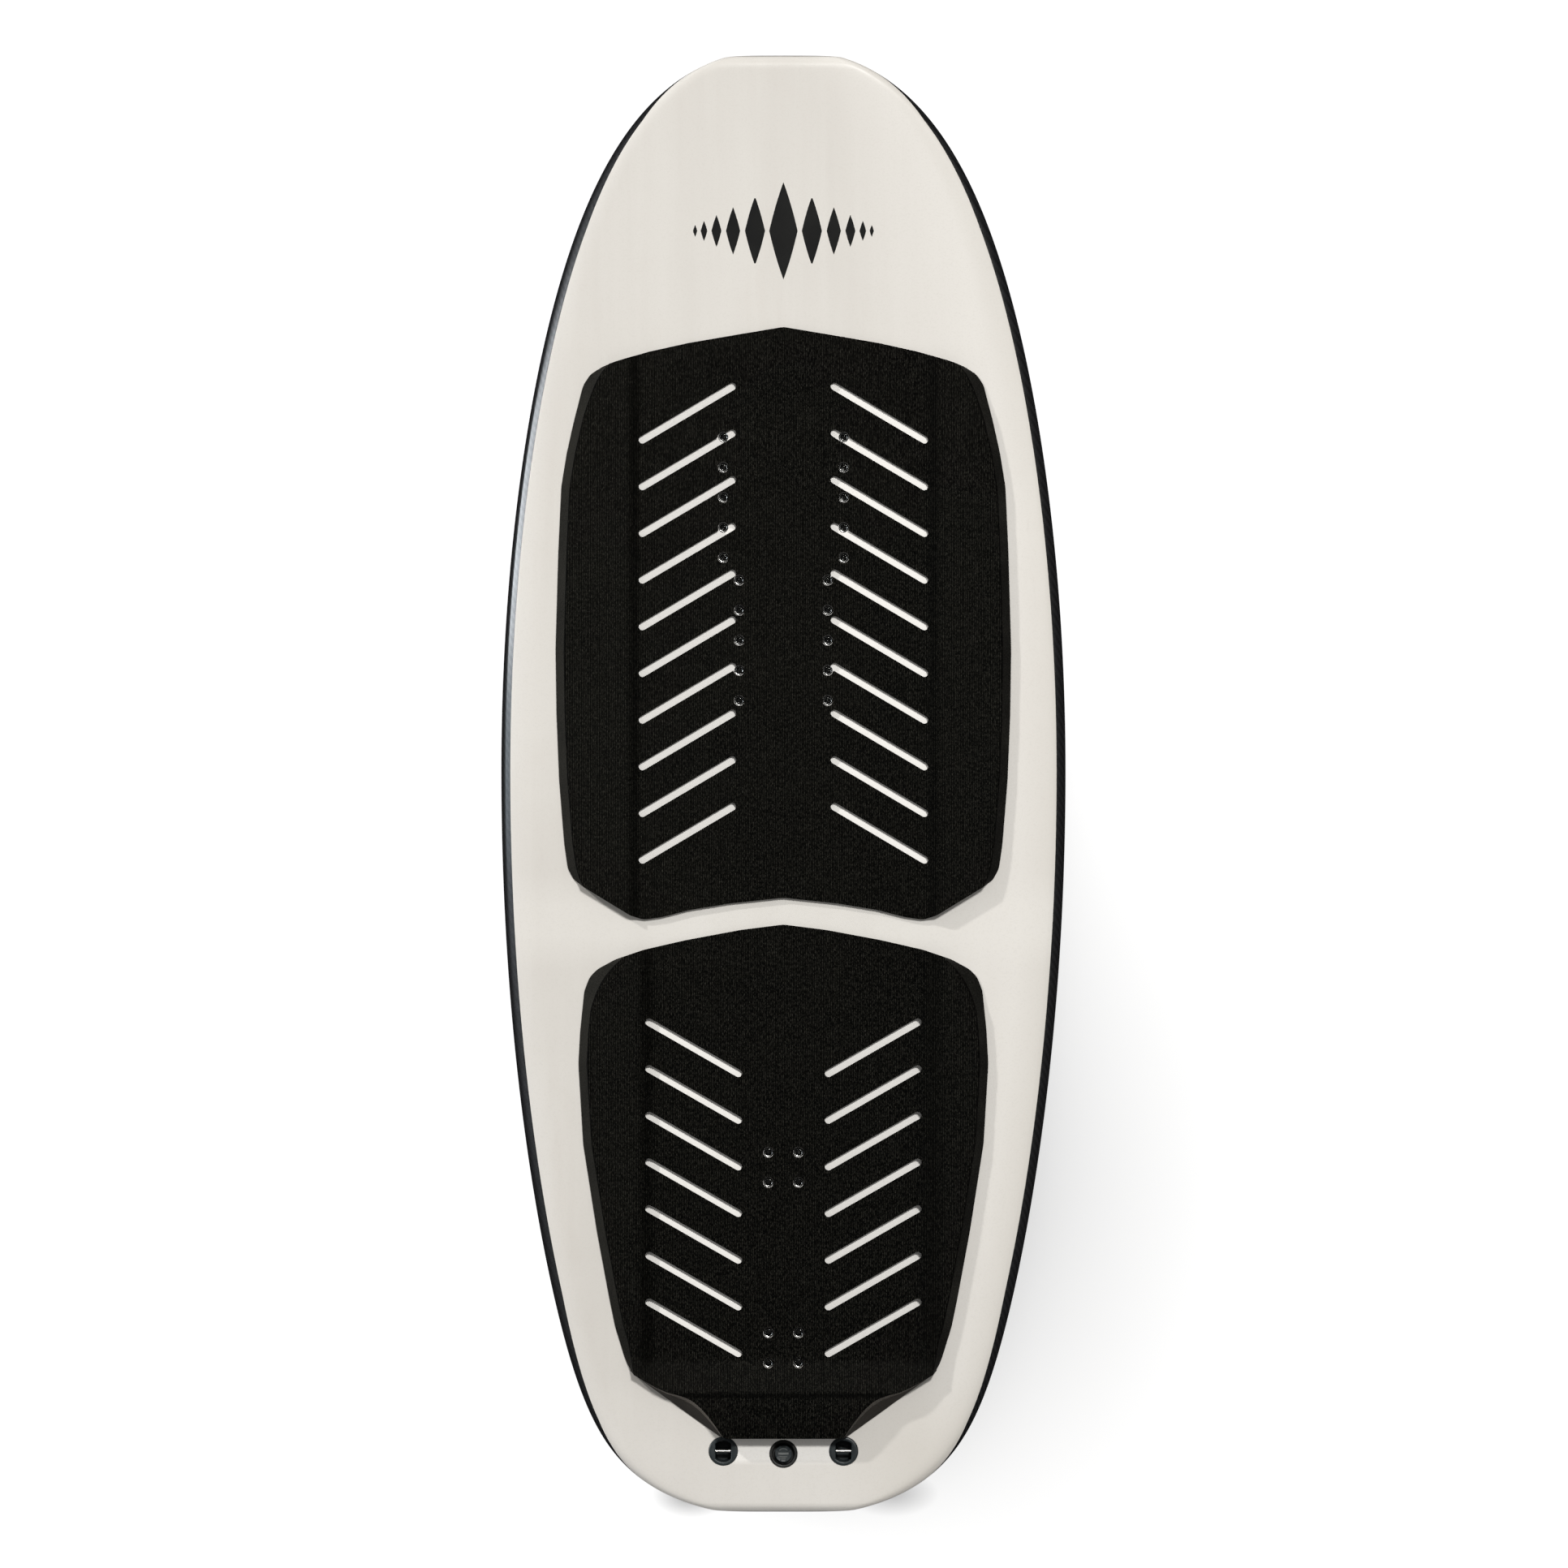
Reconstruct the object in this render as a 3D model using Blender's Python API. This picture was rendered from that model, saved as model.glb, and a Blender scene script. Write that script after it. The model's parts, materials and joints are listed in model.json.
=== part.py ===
"""Foil-ready wake board, built from its separate pieces.

Frame: +Y runs to the nose, +X to starboard, +Z up. The origin is under the
middle of the board, on the plane that the flat of the bottom lies in.
Sizes are in millimetres and are turned into metres when a mesh is made.
"""

import math

import bmesh
import bpy
from mathutils import Vector

MM = 0.001
GAP = 0.3  # between neighbouring pieces
ROUND_GAP = GAP + 0.1  # around round fittings
SIDES = ((-1, "port"), (1, "starboard"))
CUT_BOTTOM = -5.0  # cutters that leave through the bottom end here
CUT_TOP = 100.0  # cutters that leave through the deck end here

# Each material: name, base colour (r, g, b), roughness, metallic
MATERIALS = {
    "deck": ("white deck lacquer", (0.76, 0.72, 0.67), 0.42, 0.0),
    "carbon": ("carbon laminate", (0.018, 0.019, 0.021), 0.22, 0.0),
    "foam": ("shaped foam", (0.80, 0.78, 0.70), 0.9, 0.0),
    "block": ("high density foam", (0.62, 0.50, 0.28), 0.85, 0.0),
    "eva": ("grooved EVA", (0.012, 0.011, 0.010), 0.75, 0.0),
    "eva_grey": ("plain EVA", (0.045, 0.040, 0.034), 0.8, 0.0),
    "insert": ("insert metal", (0.30, 0.31, 0.29), 0.3, 1.0),
    "track": ("track plastic", (0.010, 0.010, 0.010), 0.45, 0.0),
    "steel": ("stainless steel", (0.72, 0.70, 0.66), 0.25, 1.0),
    "cup": ("cup plastic", (0.045, 0.060, 0.065), 0.25, 0.0),
    "vent": ("vent plastic", (0.010, 0.010, 0.010), 0.5, 0.0),
    "slate": ("plug plastic", (0.030, 0.038, 0.042), 0.45, 0.0),
    "rubber": ("seal rubber", (0.010, 0.010, 0.010), 0.6, 0.0),
    "membrane": ("vent membrane", (0.85, 0.85, 0.83), 0.8, 0.0),
}

# Smoothing: edges sharper than this many degrees stay sharp
HULL_SMOOTH = 30
PAD_SMOOTH = 20
FITTING_SMOOTH = 40
SEAL_SMOOTH = 60


# ================================================================== helpers
def clear_scene():
    for obj in list(bpy.data.objects):
        bpy.data.objects.remove(obj, do_unlink=True)


def make_material(name, rgb, roughness, metallic):
    mat = bpy.data.materials.new(name)
    mat.use_nodes = True
    shader = mat.node_tree.nodes["Principled BSDF"]
    shader.inputs["Base Color"].default_value = (*rgb, 1.0)
    shader.inputs["Roughness"].default_value = roughness
    shader.inputs["Metallic"].default_value = metallic
    mat.diffuse_color = (*rgb, 1.0)
    return mat


def add_object(name, mesh, mat=None, location=(0.0, 0.0, 0.0), smooth=0.0):
    obj = bpy.data.objects.new(name, mesh)
    bpy.context.scene.collection.objects.link(obj)
    obj.location = Vector(location) * MM
    if mat is not None and not mesh.materials:
        mesh.materials.append(mat)
    if smooth:
        mesh.shade_smooth()
        mesh.set_sharp_from_angle(angle=math.radians(smooth))
    return obj


def add_cutter(name, mesh, location=(0.0, 0.0, 0.0)):
    obj = add_object(name, mesh, location=location)
    obj.hide_render = True
    obj.display_type = "WIRE"
    return obj


def add_prism_cutter(name, shapes):
    return add_cutter(name, prisms(name, shapes))


def boolean(obj, other, operation="DIFFERENCE"):
    modifier = obj.modifiers.new(f"{operation.lower()} {other.name}", "BOOLEAN")
    modifier.operation = operation
    modifier.solver = "EXACT"
    modifier.object = other


def mesh_of(name, points, faces):
    mesh = bpy.data.meshes.new(name)
    mesh.from_pydata([tuple(c * MM for c in point) for point in points], [], faces)
    bm = bmesh.new()
    bm.from_mesh(mesh)
    bmesh.ops.recalc_face_normals(bm, faces=bm.faces)
    bm.to_mesh(mesh)
    bm.free()
    mesh.update()
    return mesh


def interpolate(table, at):
    """Straight-line reading of a table of (place, value), rising or falling in place."""
    rows = sorted(table)
    if at <= rows[0][0]:
        return rows[0][1]
    for (start, first), (end, last) in zip(rows, rows[1:]):
        if at <= end:
            return first + (last - first) * (at - start) / (end - start)
    return rows[-1][1]


def smoothstep(low, high, value):
    share = min(1.0, max(0.0, (value - low) / (high - low)))
    return share * share * (3.0 - 2.0 * share)


def circle(centre_x, centre_y, radius, count):
    """Regular outline whose first corner is half a step round from +X."""
    angles = [2 * math.pi * (k + 0.5) / count for k in range(count)]
    return [(centre_x + radius * math.cos(a), centre_y + radius * math.sin(a)) for a in angles]


def box_outline(low_x, high_x, low_y, high_y):
    return [(low_x, low_y), (high_x, low_y), (high_x, high_y), (low_x, high_y)]


def wall_faces(start, count):
    """Quads between a ring of points that begins at start and the ring that follows it."""
    faces = []
    for k in range(count):
        after = (k + 1) % count
        faces.append([start + k, start + after, start + count + after, start + count + k])
    return faces


def prism_faces(start, count):
    ends = [list(range(start, start + count)), list(range(start + count, start + 2 * count))]
    return ends + wall_faces(start, count)


def prisms(name, shapes):
    """One mesh of upright prisms: each shape is (outline, low z, high z)."""
    points, faces = [], []
    for outline, low, high in shapes:
        faces += prism_faces(len(points), len(outline))
        points += [(x, y, z) for z in (low, high) for x, y in outline]
    return mesh_of(name, points, faces)


def extrude_along_y(name, profile, length):
    """A solid with this X-Z profile, centred on Y = 0."""
    points = [(x, y, z) for y in (-length / 2, length / 2) for x, z in profile]
    return mesh_of(name, points, prism_faces(0, len(profile)))


def rod_along_x(name, radius, half_length, steps):
    ring = circle(0.0, 0.0, radius, steps)
    points = [(x, y, z) for x in (-half_length, half_length) for y, z in ring]
    return mesh_of(name, points, prism_faces(0, steps))


def turned(name, profile, steps):
    """A turned solid about Z. The profile is (radius, z); a radius of 0 closes on the axis."""
    points, rings = [], []
    for radius, z in profile:
        if radius == 0.0:
            rings.append([len(points)] * steps)
            points.append((0.0, 0.0, z))
        else:
            rings.append([len(points) + k for k in range(steps)])
            points += [(x, y, z) for x, y in circle(0, 0, radius, steps)]
    pairs = list(zip(rings, rings[1:]))
    if profile[0][0] != 0.0 or profile[-1][0] != 0.0:
        pairs.append((rings[-1], rings[0]))
    faces = []
    for low, high in pairs:
        for k in range(steps):
            after = (k + 1) % steps
            # on the axis the repeated corner is dropped, which leaves a triangle
            faces.append(list(dict.fromkeys((low[k], low[after], high[after], high[k]))))
    return mesh_of(name, points, faces)


# ================================================================== hull lines
HALF_LENGTH = 615.0
HALF_WIDTH = 238.7
WIDE_POINT_Y = 11.3
# plan shape: half width = HALF_WIDTH * (1 - share*u^2 - (1-share)*u^power)^(1/root)
# where u is the distance from the widest station over the reach
NOSE_CURVE = {"reach": 609.0, "power": 7.87, "root": 2.195, "share": 0.860}
TAIL_CURVE = {"reach": 631.0, "power": 16.5, "root": 2.0, "share": 0.681}

DECK_Z = 62.0  # flat of the deck above the flat of the bottom
# lines that climb by `rise` between two stations
DECK_RISE = {"start": 230.0, "end": HALF_LENGTH, "rise": 24.0, "power": 1.8}
NOSE_ROCKER = {"start": 60.0, "end": HALF_LENGTH, "rise": 50.0, "power": 2.2}
TAIL_ROCKER = {"start": -440.0, "end": -HALF_LENGTH, "rise": 14.0, "power": 2.0}

RAIL_LEVEL = 0.42  # height of the widest point, as a share of the thickness
UPPER_ROLL = 31.0  # inward run where the deck rolls over to the rail
UPPER_ROLL_SHARE = 0.6  # most it may take of the half width
UPPER_POWER = 6.0
LOWER_ROLL = 42.0  # inward run of the bevelled lower rail
LOWER_ROLL_SHARE = 0.75
LOWER_POWER = 1.8
NOSE_ROUND = 14.0  # length over which the section thins to a rounded edge
TAIL_ROUND = 10.0
END_POWER = 3.5
END_LEAST = 0.3  # least share of the section height left at the ends

# seam between the skins: (station y, distance inward from the rail)
SEAM_BAND = (
    (-591.0, 0.0), (-537.0, 5.0), (-430.0, 8.0), (470.0, 8.0), (560.0, 6.0), (604.0, 0.0),
)
SEAM_ROLL_SHARE = 0.8  # most the seam may take of the upper roll
SEAM_LEAST_ANGLE = 7.0

SKIN = 3.0  # sandwich laminate
DECK_STEPS = 4  # from the seam to the flat of the deck
LOWER_ANGLES = (-90.0, -72.0, -48.0, -22.0, 0.0)  # from the flat bottom to the rail

# y of the cross-sections, nose to tail
STATIONS = (
    615.0, 613.6, 609.0, 600.0, 588.0, 567.0, 535.0, 500.0, 455.0, 400.0,
    345.0, 290.0, 230.0, 145.0, 60.0, 11.3, -110.0, -220.0, -330.0, -440.0,
    -500.0, -545.0, -577.0, -597.0, -607.0, -613.0, -615.0,
)


def half_width(y):
    curve = NOSE_CURVE if y > WIDE_POINT_Y else TAIL_CURVE
    reached = abs(y - WIDE_POINT_Y) / curve["reach"]
    share = curve["share"]
    inside = 1.0 - share * reached**2 - (1.0 - share) * reached ** curve["power"]
    return HALF_WIDTH * max(0.0, inside) ** (1.0 / curve["root"])


def climb(y, start, end, rise, power):
    return rise * max(0.0, (y - start) / (end - start)) ** power


def deck_line(y):
    return DECK_Z + climb(y, **DECK_RISE)


def bottom_line(y):
    return climb(y, **NOSE_ROCKER) + climb(y, **TAIL_ROCKER)


def faceted_deck(y):
    """Height of the deck skin as built, straight between its stations."""
    return interpolate([(station, deck_line(station)) for station in STATIONS], y)


def end_factor(y):
    """Thins the section to a rounded edge at the nose and at the tail."""
    reach = NOSE_ROUND if y > 0 else TAIL_ROUND
    share = max(0.0, (abs(y) - (HALF_LENGTH - reach)) / reach)
    return max(END_LEAST, max(0.0, 1.0 - share**END_POWER) ** (1.0 / END_POWER))


def upper_roll(y):
    return min(UPPER_ROLL, UPPER_ROLL_SHARE * half_width(y))


def seam_angle(y):
    """Where the deck skin meets the bottom skin, as an angle up from the widest point."""
    run = upper_roll(y)
    inward = min(interpolate(SEAM_BAND, y), SEAM_ROLL_SHARE * run)
    angle = math.degrees(math.acos(((run - inward) / run) ** (UPPER_POWER / 2)))
    return max(SEAM_LEAST_ANGLE, angle)


def hull_point(y, angle, inset):
    """Starboard point of a section: -90 is the flat bottom, 0 the rail, 90 the deck."""
    half, top, low = half_width(y), deck_line(y), bottom_line(y)
    rail = low + RAIL_LEVEL * (top - low)
    if angle >= 0:
        run, rise, power, side = upper_roll(y), top - rail, UPPER_POWER, 1.0
    else:
        run = min(LOWER_ROLL, LOWER_ROLL_SHARE * half)
        rise, power, side = rail - low, LOWER_POWER, -1.0
    across = max(0.0, math.cos(math.radians(angle))) ** (2.0 / power)
    upward = math.sin(math.radians(abs(angle))) ** (2.0 / power)
    x = half - run + (run - inset) * across
    z = rail + side * end_factor(y) * (rise - inset) * upward
    return (x, y * (HALF_LENGTH - inset) / HALF_LENGTH, z)


def deck_angles(y):
    seam = seam_angle(y)
    return [seam + (90.0 - seam) * k / DECK_STEPS for k in range(DECK_STEPS + 1)]


def bottom_angles(y):
    seam = seam_angle(y)
    return [*LOWER_ANGLES, seam / 2, seam]


def whole_angles(y):
    return bottom_angles(y) + deck_angles(y)[1:]


def hull_rows(angles_of, inset, seam_index=None):
    """A row of starboard points per station; a seam edge is drawn back by half the gap."""
    rows = [[hull_point(y, angle, inset) for angle in angles_of(y)] for y in STATIONS]
    if seam_index is not None:
        step = 1 if seam_index == 0 else -1
        for row in rows:
            edge, neighbour = Vector(row[seam_index]), Vector(row[seam_index + step])
            row[seam_index] = tuple(edge + (neighbour - edge).normalized() * (GAP / 2))
    return rows


class Surface:
    """Points and faces of a hull surface on both sides of the centre line."""

    def __init__(self):
        self.points, self.faces = [], []

    def add_rows(self, rows):
        """Index grids (starboard, port) for these starboard rows."""
        grids = []
        for side in (1.0, -1.0):
            grid = []
            for row in rows:
                grid.append([len(self.points) + k for k in range(len(row))])
                self.points += [(side * x, y, z) for x, y, z in row]
            grids.append(grid)
        return grids

    def skin(self, grids, join_first, join_last):
        """Fixed diagonals, so that neighbouring surfaces stay parallel."""
        for grid in grids:
            for row, aft in zip(grid, grid[1:]):
                for k in range(len(row) - 1):
                    self.faces.append((row[k], aft[k], aft[k + 1]))
                    self.faces.append((row[k], aft[k + 1], row[k + 1]))
        starboard, port = grids
        for wanted, k in ((join_first, 0), (join_last, -1)):
            if wanted:
                for i in range(len(starboard) - 1):
                    self.faces.append(
                        (starboard[i][k], starboard[i + 1][k], port[i + 1][k], port[i][k])
                    )
        for i in (0, -1):
            self.faces.append(tuple(starboard[i]) + tuple(reversed(port[i])))

    def rim(self, outer, inner, k):
        """Closes column k between the outer and the inner surface."""
        for out, inn in zip(outer, inner):
            for i in range(len(out) - 1):
                start, diagonal = out[i][k], inn[i + 1][k]
                self.faces += [(start, out[i + 1][k], diagonal), (start, diagonal, inn[i][k])]
        for i in (0, -1):
            self.faces.append((outer[0][i][k], outer[1][i][k], inner[1][i][k], inner[0][i][k]))


def skin_mesh(name, angles_of, seam_index):
    """A skin of the hull: a lid or a tray with its rim along the seam."""
    surface = Surface()
    outer = surface.add_rows(hull_rows(angles_of, 0.0, seam_index))
    inner = surface.add_rows(hull_rows(angles_of, SKIN, seam_index))
    for grids in (outer, inner):
        surface.skin(grids, join_first=seam_index != 0, join_last=seam_index == 0)
    surface.rim(outer, inner, seam_index)
    return mesh_of(name, surface.points, surface.faces)


def core_mesh(name):
    surface = Surface()
    rows = hull_rows(whole_angles, SKIN + GAP)
    surface.skin(surface.add_rows(rows), join_first=True, join_last=True)
    return mesh_of(name, surface.points, surface.faces)


# ================================================================== strap inserts (M6)
PITCH = 25.4
OUTER_X = 2 * PITCH
INNER_X = 37.3
REAR_X = PITCH / 2
OUTER_Y = 293.1
INNER_Y = 172.4
REAR_Y = -310.6
REAR_AFT_Y = REAR_Y - 6 * PITCH

# row name, x, y of its foremost insert, number of inserts one pitch apart
INSERT_ROWS = (
    ("front_port_outer", -OUTER_X, OUTER_Y, 5),
    ("front_port_inner", -INNER_X, INNER_Y, 5),
    ("front_starboard_outer", OUTER_X, OUTER_Y, 5),
    ("front_starboard_inner", INNER_X, INNER_Y, 5),
    ("rear_port_forward", -REAR_X, REAR_Y, 2),
    ("rear_starboard_forward", REAR_X, REAR_Y, 2),
    ("rear_port_aft", -REAR_X, REAR_AFT_Y, 2),
    ("rear_starboard_aft", REAR_X, REAR_AFT_Y, 2),
)
INSERT_R = 4.1
INSERT_BORE_R = 2.5
INSERT_LENGTH = 16.0
INSERT_BORE_DEPTH = 14.0
INSERT_STEPS = 10
INSERT_HOLE_SIDES = 8
INSERT_HOLE_R = (INSERT_R + GAP) / math.cos(math.pi / INSERT_HOLE_SIDES)  # to the corners
PAD_HOLE_R = 4.5
PAD_HOLE_SIDES = 10
INSERT_HOLE_FLOOR = DECK_Z - INSERT_LENGTH - 0.5


def insert_places():
    """Name, x and y of every insert."""
    for row, x, y, count in INSERT_ROWS:
        for k in range(count):
            yield f"strap_insert_{row}_{k + 1}", x, y - k * PITCH


def insert_hole_cutter(name, radius, sides):
    return add_prism_cutter(
        name,
        [(circle(x, y, radius, sides), INSERT_HOLE_FLOOR, CUT_TOP) for _, x, y in insert_places()],
    )


def build_inserts(mats):
    """Blind-bored cylinders, flush with the deck."""
    profile = [
        (0.0, -INSERT_BORE_DEPTH), (INSERT_BORE_R, -INSERT_BORE_DEPTH), (INSERT_BORE_R, 0.0),
        (INSERT_R, 0.0), (INSERT_R, -INSERT_LENGTH), (0.0, -INSERT_LENGTH),
    ]
    mesh = turned("strap_insert", profile, INSERT_STEPS)
    for name, x, y in insert_places():
        add_object(name, mesh, mats["insert"], (x, y, faceted_deck(y)), FITTING_SMOOTH)


# ================================================================== foil tracks
TRACK_X = 45.0  # half of the 90 mm bolt spacing
TRACK_Y = -258.0
TRACK_WIDTH = 25.0
TRACK_LENGTH = 254.0
TRACK_HEIGHT = 25.0
TRACK_SLOT_LENGTH = 240.0
SLOT_HALF = 5.0
CHANNEL_HALF = 8.5  # wider part of the slot, where the nuts slide
LIP = 4.0
CHANNEL_TOP = 10.5
SLOT_TOP = 20.0
NOTCH_WIDTH = 17.4
NOTCH_LENGTH = 19.0
NOTCH_TOP = LIP + 1.0  # past the lip, into the channel

NUT_LENGTH = 18.0
NUT_HALF = 8.2
NUT_BOSS_HALF = 4.6
NUT_BOSS_Z = 1.6  # underside of the boss
NUT_LOW_Z = 4.3
NUT_TOP_Z = 8.7
NUT_BORE_R = 3.4  # M8 core diameter
NUT_BORE_STEPS = 16
NUT_BORE_Z = (-3.0, 14.0)
NUT_SPACING = 165.0  # front to rear
NUT_Y = {"front": TRACK_Y + NUT_SPACING / 2, "rear": TRACK_Y - NUT_SPACING / 2}


def track_outline(x, y, width, length):
    return box_outline(x - width / 2, x + width / 2, y - length / 2, y + length / 2)


def track_pocket_cutter():
    half_x, half_y = TRACK_WIDTH / 2 + GAP, TRACK_LENGTH / 2 + GAP
    shapes = []
    for x in (TRACK_X, -TRACK_X):
        outline = box_outline(x - half_x, x + half_x, TRACK_Y - half_y, TRACK_Y + half_y)
        shapes.append((outline, CUT_BOTTOM, TRACK_HEIGHT + GAP))
    return add_prism_cutter("cut_track_pockets", shapes)


def track_notch_cutter():
    """The wider opening through the lips, half way along each track."""
    return add_prism_cutter(
        "cut_track_notches",
        [
            (track_outline(x, TRACK_Y, NOTCH_WIDTH, NOTCH_LENGTH), CUT_BOTTOM, NOTCH_TOP)
            for x in (TRACK_X, -TRACK_X)
        ],
    )


def track_slot_mesh():
    profile = [
        (-SLOT_HALF, CUT_BOTTOM), (SLOT_HALF, CUT_BOTTOM), (SLOT_HALF, LIP), (CHANNEL_HALF, LIP),
        (CHANNEL_HALF, CHANNEL_TOP), (SLOT_HALF, CHANNEL_TOP), (SLOT_HALF, SLOT_TOP),
        (-SLOT_HALF, SLOT_TOP), (-SLOT_HALF, CHANNEL_TOP), (-CHANNEL_HALF, CHANNEL_TOP),
        (-CHANNEL_HALF, LIP), (-SLOT_HALF, LIP),
    ]
    return extrude_along_y("cut_track_slot", profile, TRACK_SLOT_LENGTH)


def track_nut_mesh():
    profile = [
        (-NUT_BOSS_HALF, NUT_BOSS_Z), (NUT_BOSS_HALF, NUT_BOSS_Z), (NUT_BOSS_HALF, NUT_LOW_Z),
        (NUT_HALF, NUT_LOW_Z), (NUT_HALF, NUT_TOP_Z), (-NUT_HALF, NUT_TOP_Z),
        (-NUT_HALF, NUT_LOW_Z), (-NUT_BOSS_HALF, NUT_LOW_Z),
    ]
    return extrude_along_y("track_nut", profile, NUT_LENGTH)


def build_track_box(mats, word, place, slot_mesh, notches):
    name = f"track_box_{word}"
    outline = track_outline(0.0, 0.0, TRACK_WIDTH, TRACK_LENGTH)
    box = add_object(name, prisms(name, [(outline, 0.0, TRACK_HEIGHT)]), mats["track"], place)
    boolean(box, add_cutter(f"cut_track_slot_{word}", slot_mesh, place))
    boolean(box, notches)


def build_track_nut(mats, label, place, mesh):
    """The nut's origin is on its bolt axis, and it slides along Y."""
    nut = add_object(f"track_nut_{label}", mesh, mats["steel"], place)
    name = f"cut_nut_{label}"
    bore = prisms(name, [(circle(0, 0, NUT_BORE_R, NUT_BORE_STEPS), *NUT_BORE_Z)])
    boolean(nut, add_cutter(name, bore, place))


def build_tracks(mats):
    notches = track_notch_cutter()
    slot_mesh = track_slot_mesh()
    nut_mesh = track_nut_mesh()
    for side, word in SIDES:
        x = side * TRACK_X
        build_track_box(mats, word, (x, TRACK_Y, 0.0), slot_mesh, notches)
        for end, y in NUT_Y.items():
            build_track_nut(mats, f"{end}_{word}", (x, y, 0.0), nut_mesh)


# ================================================================== leash plugs
LEASH_X = OUTER_X  # in line with the outer front inserts
LEASH_Y = -563.1
CUP_FLANGE_R = 12.2
CUP_BODY_R = 10.5
FLANGE_THICK = 2.7  # shared by the cups and the vent
CUP_DEPTH = 20.0
CUP_STEPS = 20
CUP_MOUTH_R = 9.0
CUP_MOUTH_HALF = 6.55  # half the width of the mouth's two straight sides' gap along X
CUP_MOUTH_ARC_STEPS = 8
CUP_POCKET = 16.5
CUP_MOUTH_TOP = 10.0  # mouth cutter, above the deck
PIN_R = 1.45
PIN_LENGTH = 19.0
PIN_DROP = 4.5  # pin axis below the deck
PIN_HOLE_R = 1.8
PIN_HOLE_HALF = 9.85
PIN_STEPS = 16


def leash_cup_mesh():
    profile = [
        (0.0, 0.0), (CUP_FLANGE_R, 0.0), (CUP_FLANGE_R, -FLANGE_THICK),
        (CUP_BODY_R, -FLANGE_THICK), (CUP_BODY_R, -CUP_DEPTH), (0.0, -CUP_DEPTH),
    ]
    return turned("leash_cup", profile, CUP_STEPS)


def leash_mouth_mesh():
    """A round pocket with flat sides to port and starboard."""
    reach = math.asin(CUP_MOUTH_HALF / CUP_MOUTH_R)
    outline = []
    for middle in (math.pi / 2, -math.pi / 2):
        for k in range(CUP_MOUTH_ARC_STEPS + 1):
            angle = middle - reach + 2 * reach * k / CUP_MOUTH_ARC_STEPS
            outline.append((CUP_MOUTH_R * math.cos(angle), CUP_MOUTH_R * math.sin(angle)))
    return prisms("cut_leash_mouth", [(outline, -CUP_POCKET, CUP_MOUTH_TOP)])


def build_leash_plugs(mats):
    cup_mesh = leash_cup_mesh()
    mouth_mesh = leash_mouth_mesh()
    pin_mesh = rod_along_x("leash_pin", PIN_R, PIN_LENGTH / 2, PIN_STEPS)
    hole_mesh = rod_along_x("cut_pin_hole", PIN_HOLE_R, PIN_HOLE_HALF, PIN_STEPS)
    for side, word in SIDES:
        place = (side * LEASH_X, LEASH_Y, DECK_Z)
        axis = (side * LEASH_X, LEASH_Y, DECK_Z - PIN_DROP)
        cup = add_object(f"leash_cup_{word}", cup_mesh, mats["cup"], place, FITTING_SMOOTH)
        boolean(cup, add_cutter(f"cut_leash_mouth_{word}", mouth_mesh, place))
        boolean(cup, add_cutter(f"cut_pin_hole_{word}", hole_mesh, axis))
        add_object(f"leash_pin_{word}", pin_mesh, mats["steel"], axis, FITTING_SMOOTH)


# ================================================================== vent
# depths are measured down from the deck
VENT_Y = -565.3
VENT_STEPS = 20
VENT_FLANGE_R = 11.8
VENT_BODY_R = 10.2
VENT_WELL_R = 9.2
VENT_WELL = 5.7
VENT_BORE_R = 5.3
VENT_BORE = 13.5
VENT_DEPTH = 16.0
VENT_BREATHER_R = 1.6

PLUG_HEAD_R = 7.35
PLUG_CHAMFER = 0.5
PLUG_TOP = 1.2
PLUG_UNDER = 3.6  # underside of the head
PLUG_SHANK_R = 5.0
PLUG_END = 12.0
PLUG_CAVITY_R = 3.9
PLUG_CAVITY = 5.0
PLUG_CHAMBER_R = 3.0
PLUG_CHAMBER = 2.6
CROSS_HALF_LENGTH = 12.0  # crossed slits through the head
CROSS_HALF_WIDTH = 0.6
CROSS_Z = (-3.45, -2.75)

RING_R = 6.2
RING_CORD_R = 0.75
RING_CORD_STEPS = 6
RING_DROP = 4.65
MEMBRANE_R = 3.5
MEMBRANE_Z = (-5.4, -5.9)
MEMBRANE_STEPS = 16
RETAINER_BORE_R = 2.1
RETAINER_Z = (-8.0, -6.3)


def add_turned(name, profile, mat, axis, steps=VENT_STEPS, smooth=FITTING_SMOOTH):
    """A turned piece that hangs under the vent's axis."""
    obj = add_object(name, turned(name, profile, steps), mat, smooth=smooth)
    obj.parent = axis
    return obj


def build_vent_housing(mats):
    profile = [
        (VENT_BREATHER_R, -VENT_DEPTH), (VENT_BREATHER_R, -VENT_BORE), (VENT_BORE_R, -VENT_BORE),
        (VENT_BORE_R, -VENT_WELL), (VENT_WELL_R, -VENT_WELL), (VENT_WELL_R, 0.0),
        (VENT_FLANGE_R, 0.0), (VENT_FLANGE_R, -FLANGE_THICK), (VENT_BODY_R, -FLANGE_THICK),
        (VENT_BODY_R, -VENT_DEPTH),
    ]
    mesh = turned("vent_housing", profile, VENT_STEPS)
    add_object("vent_housing", mesh, mats["vent"], (0.0, VENT_Y, DECK_Z), FITTING_SMOOTH)


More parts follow.
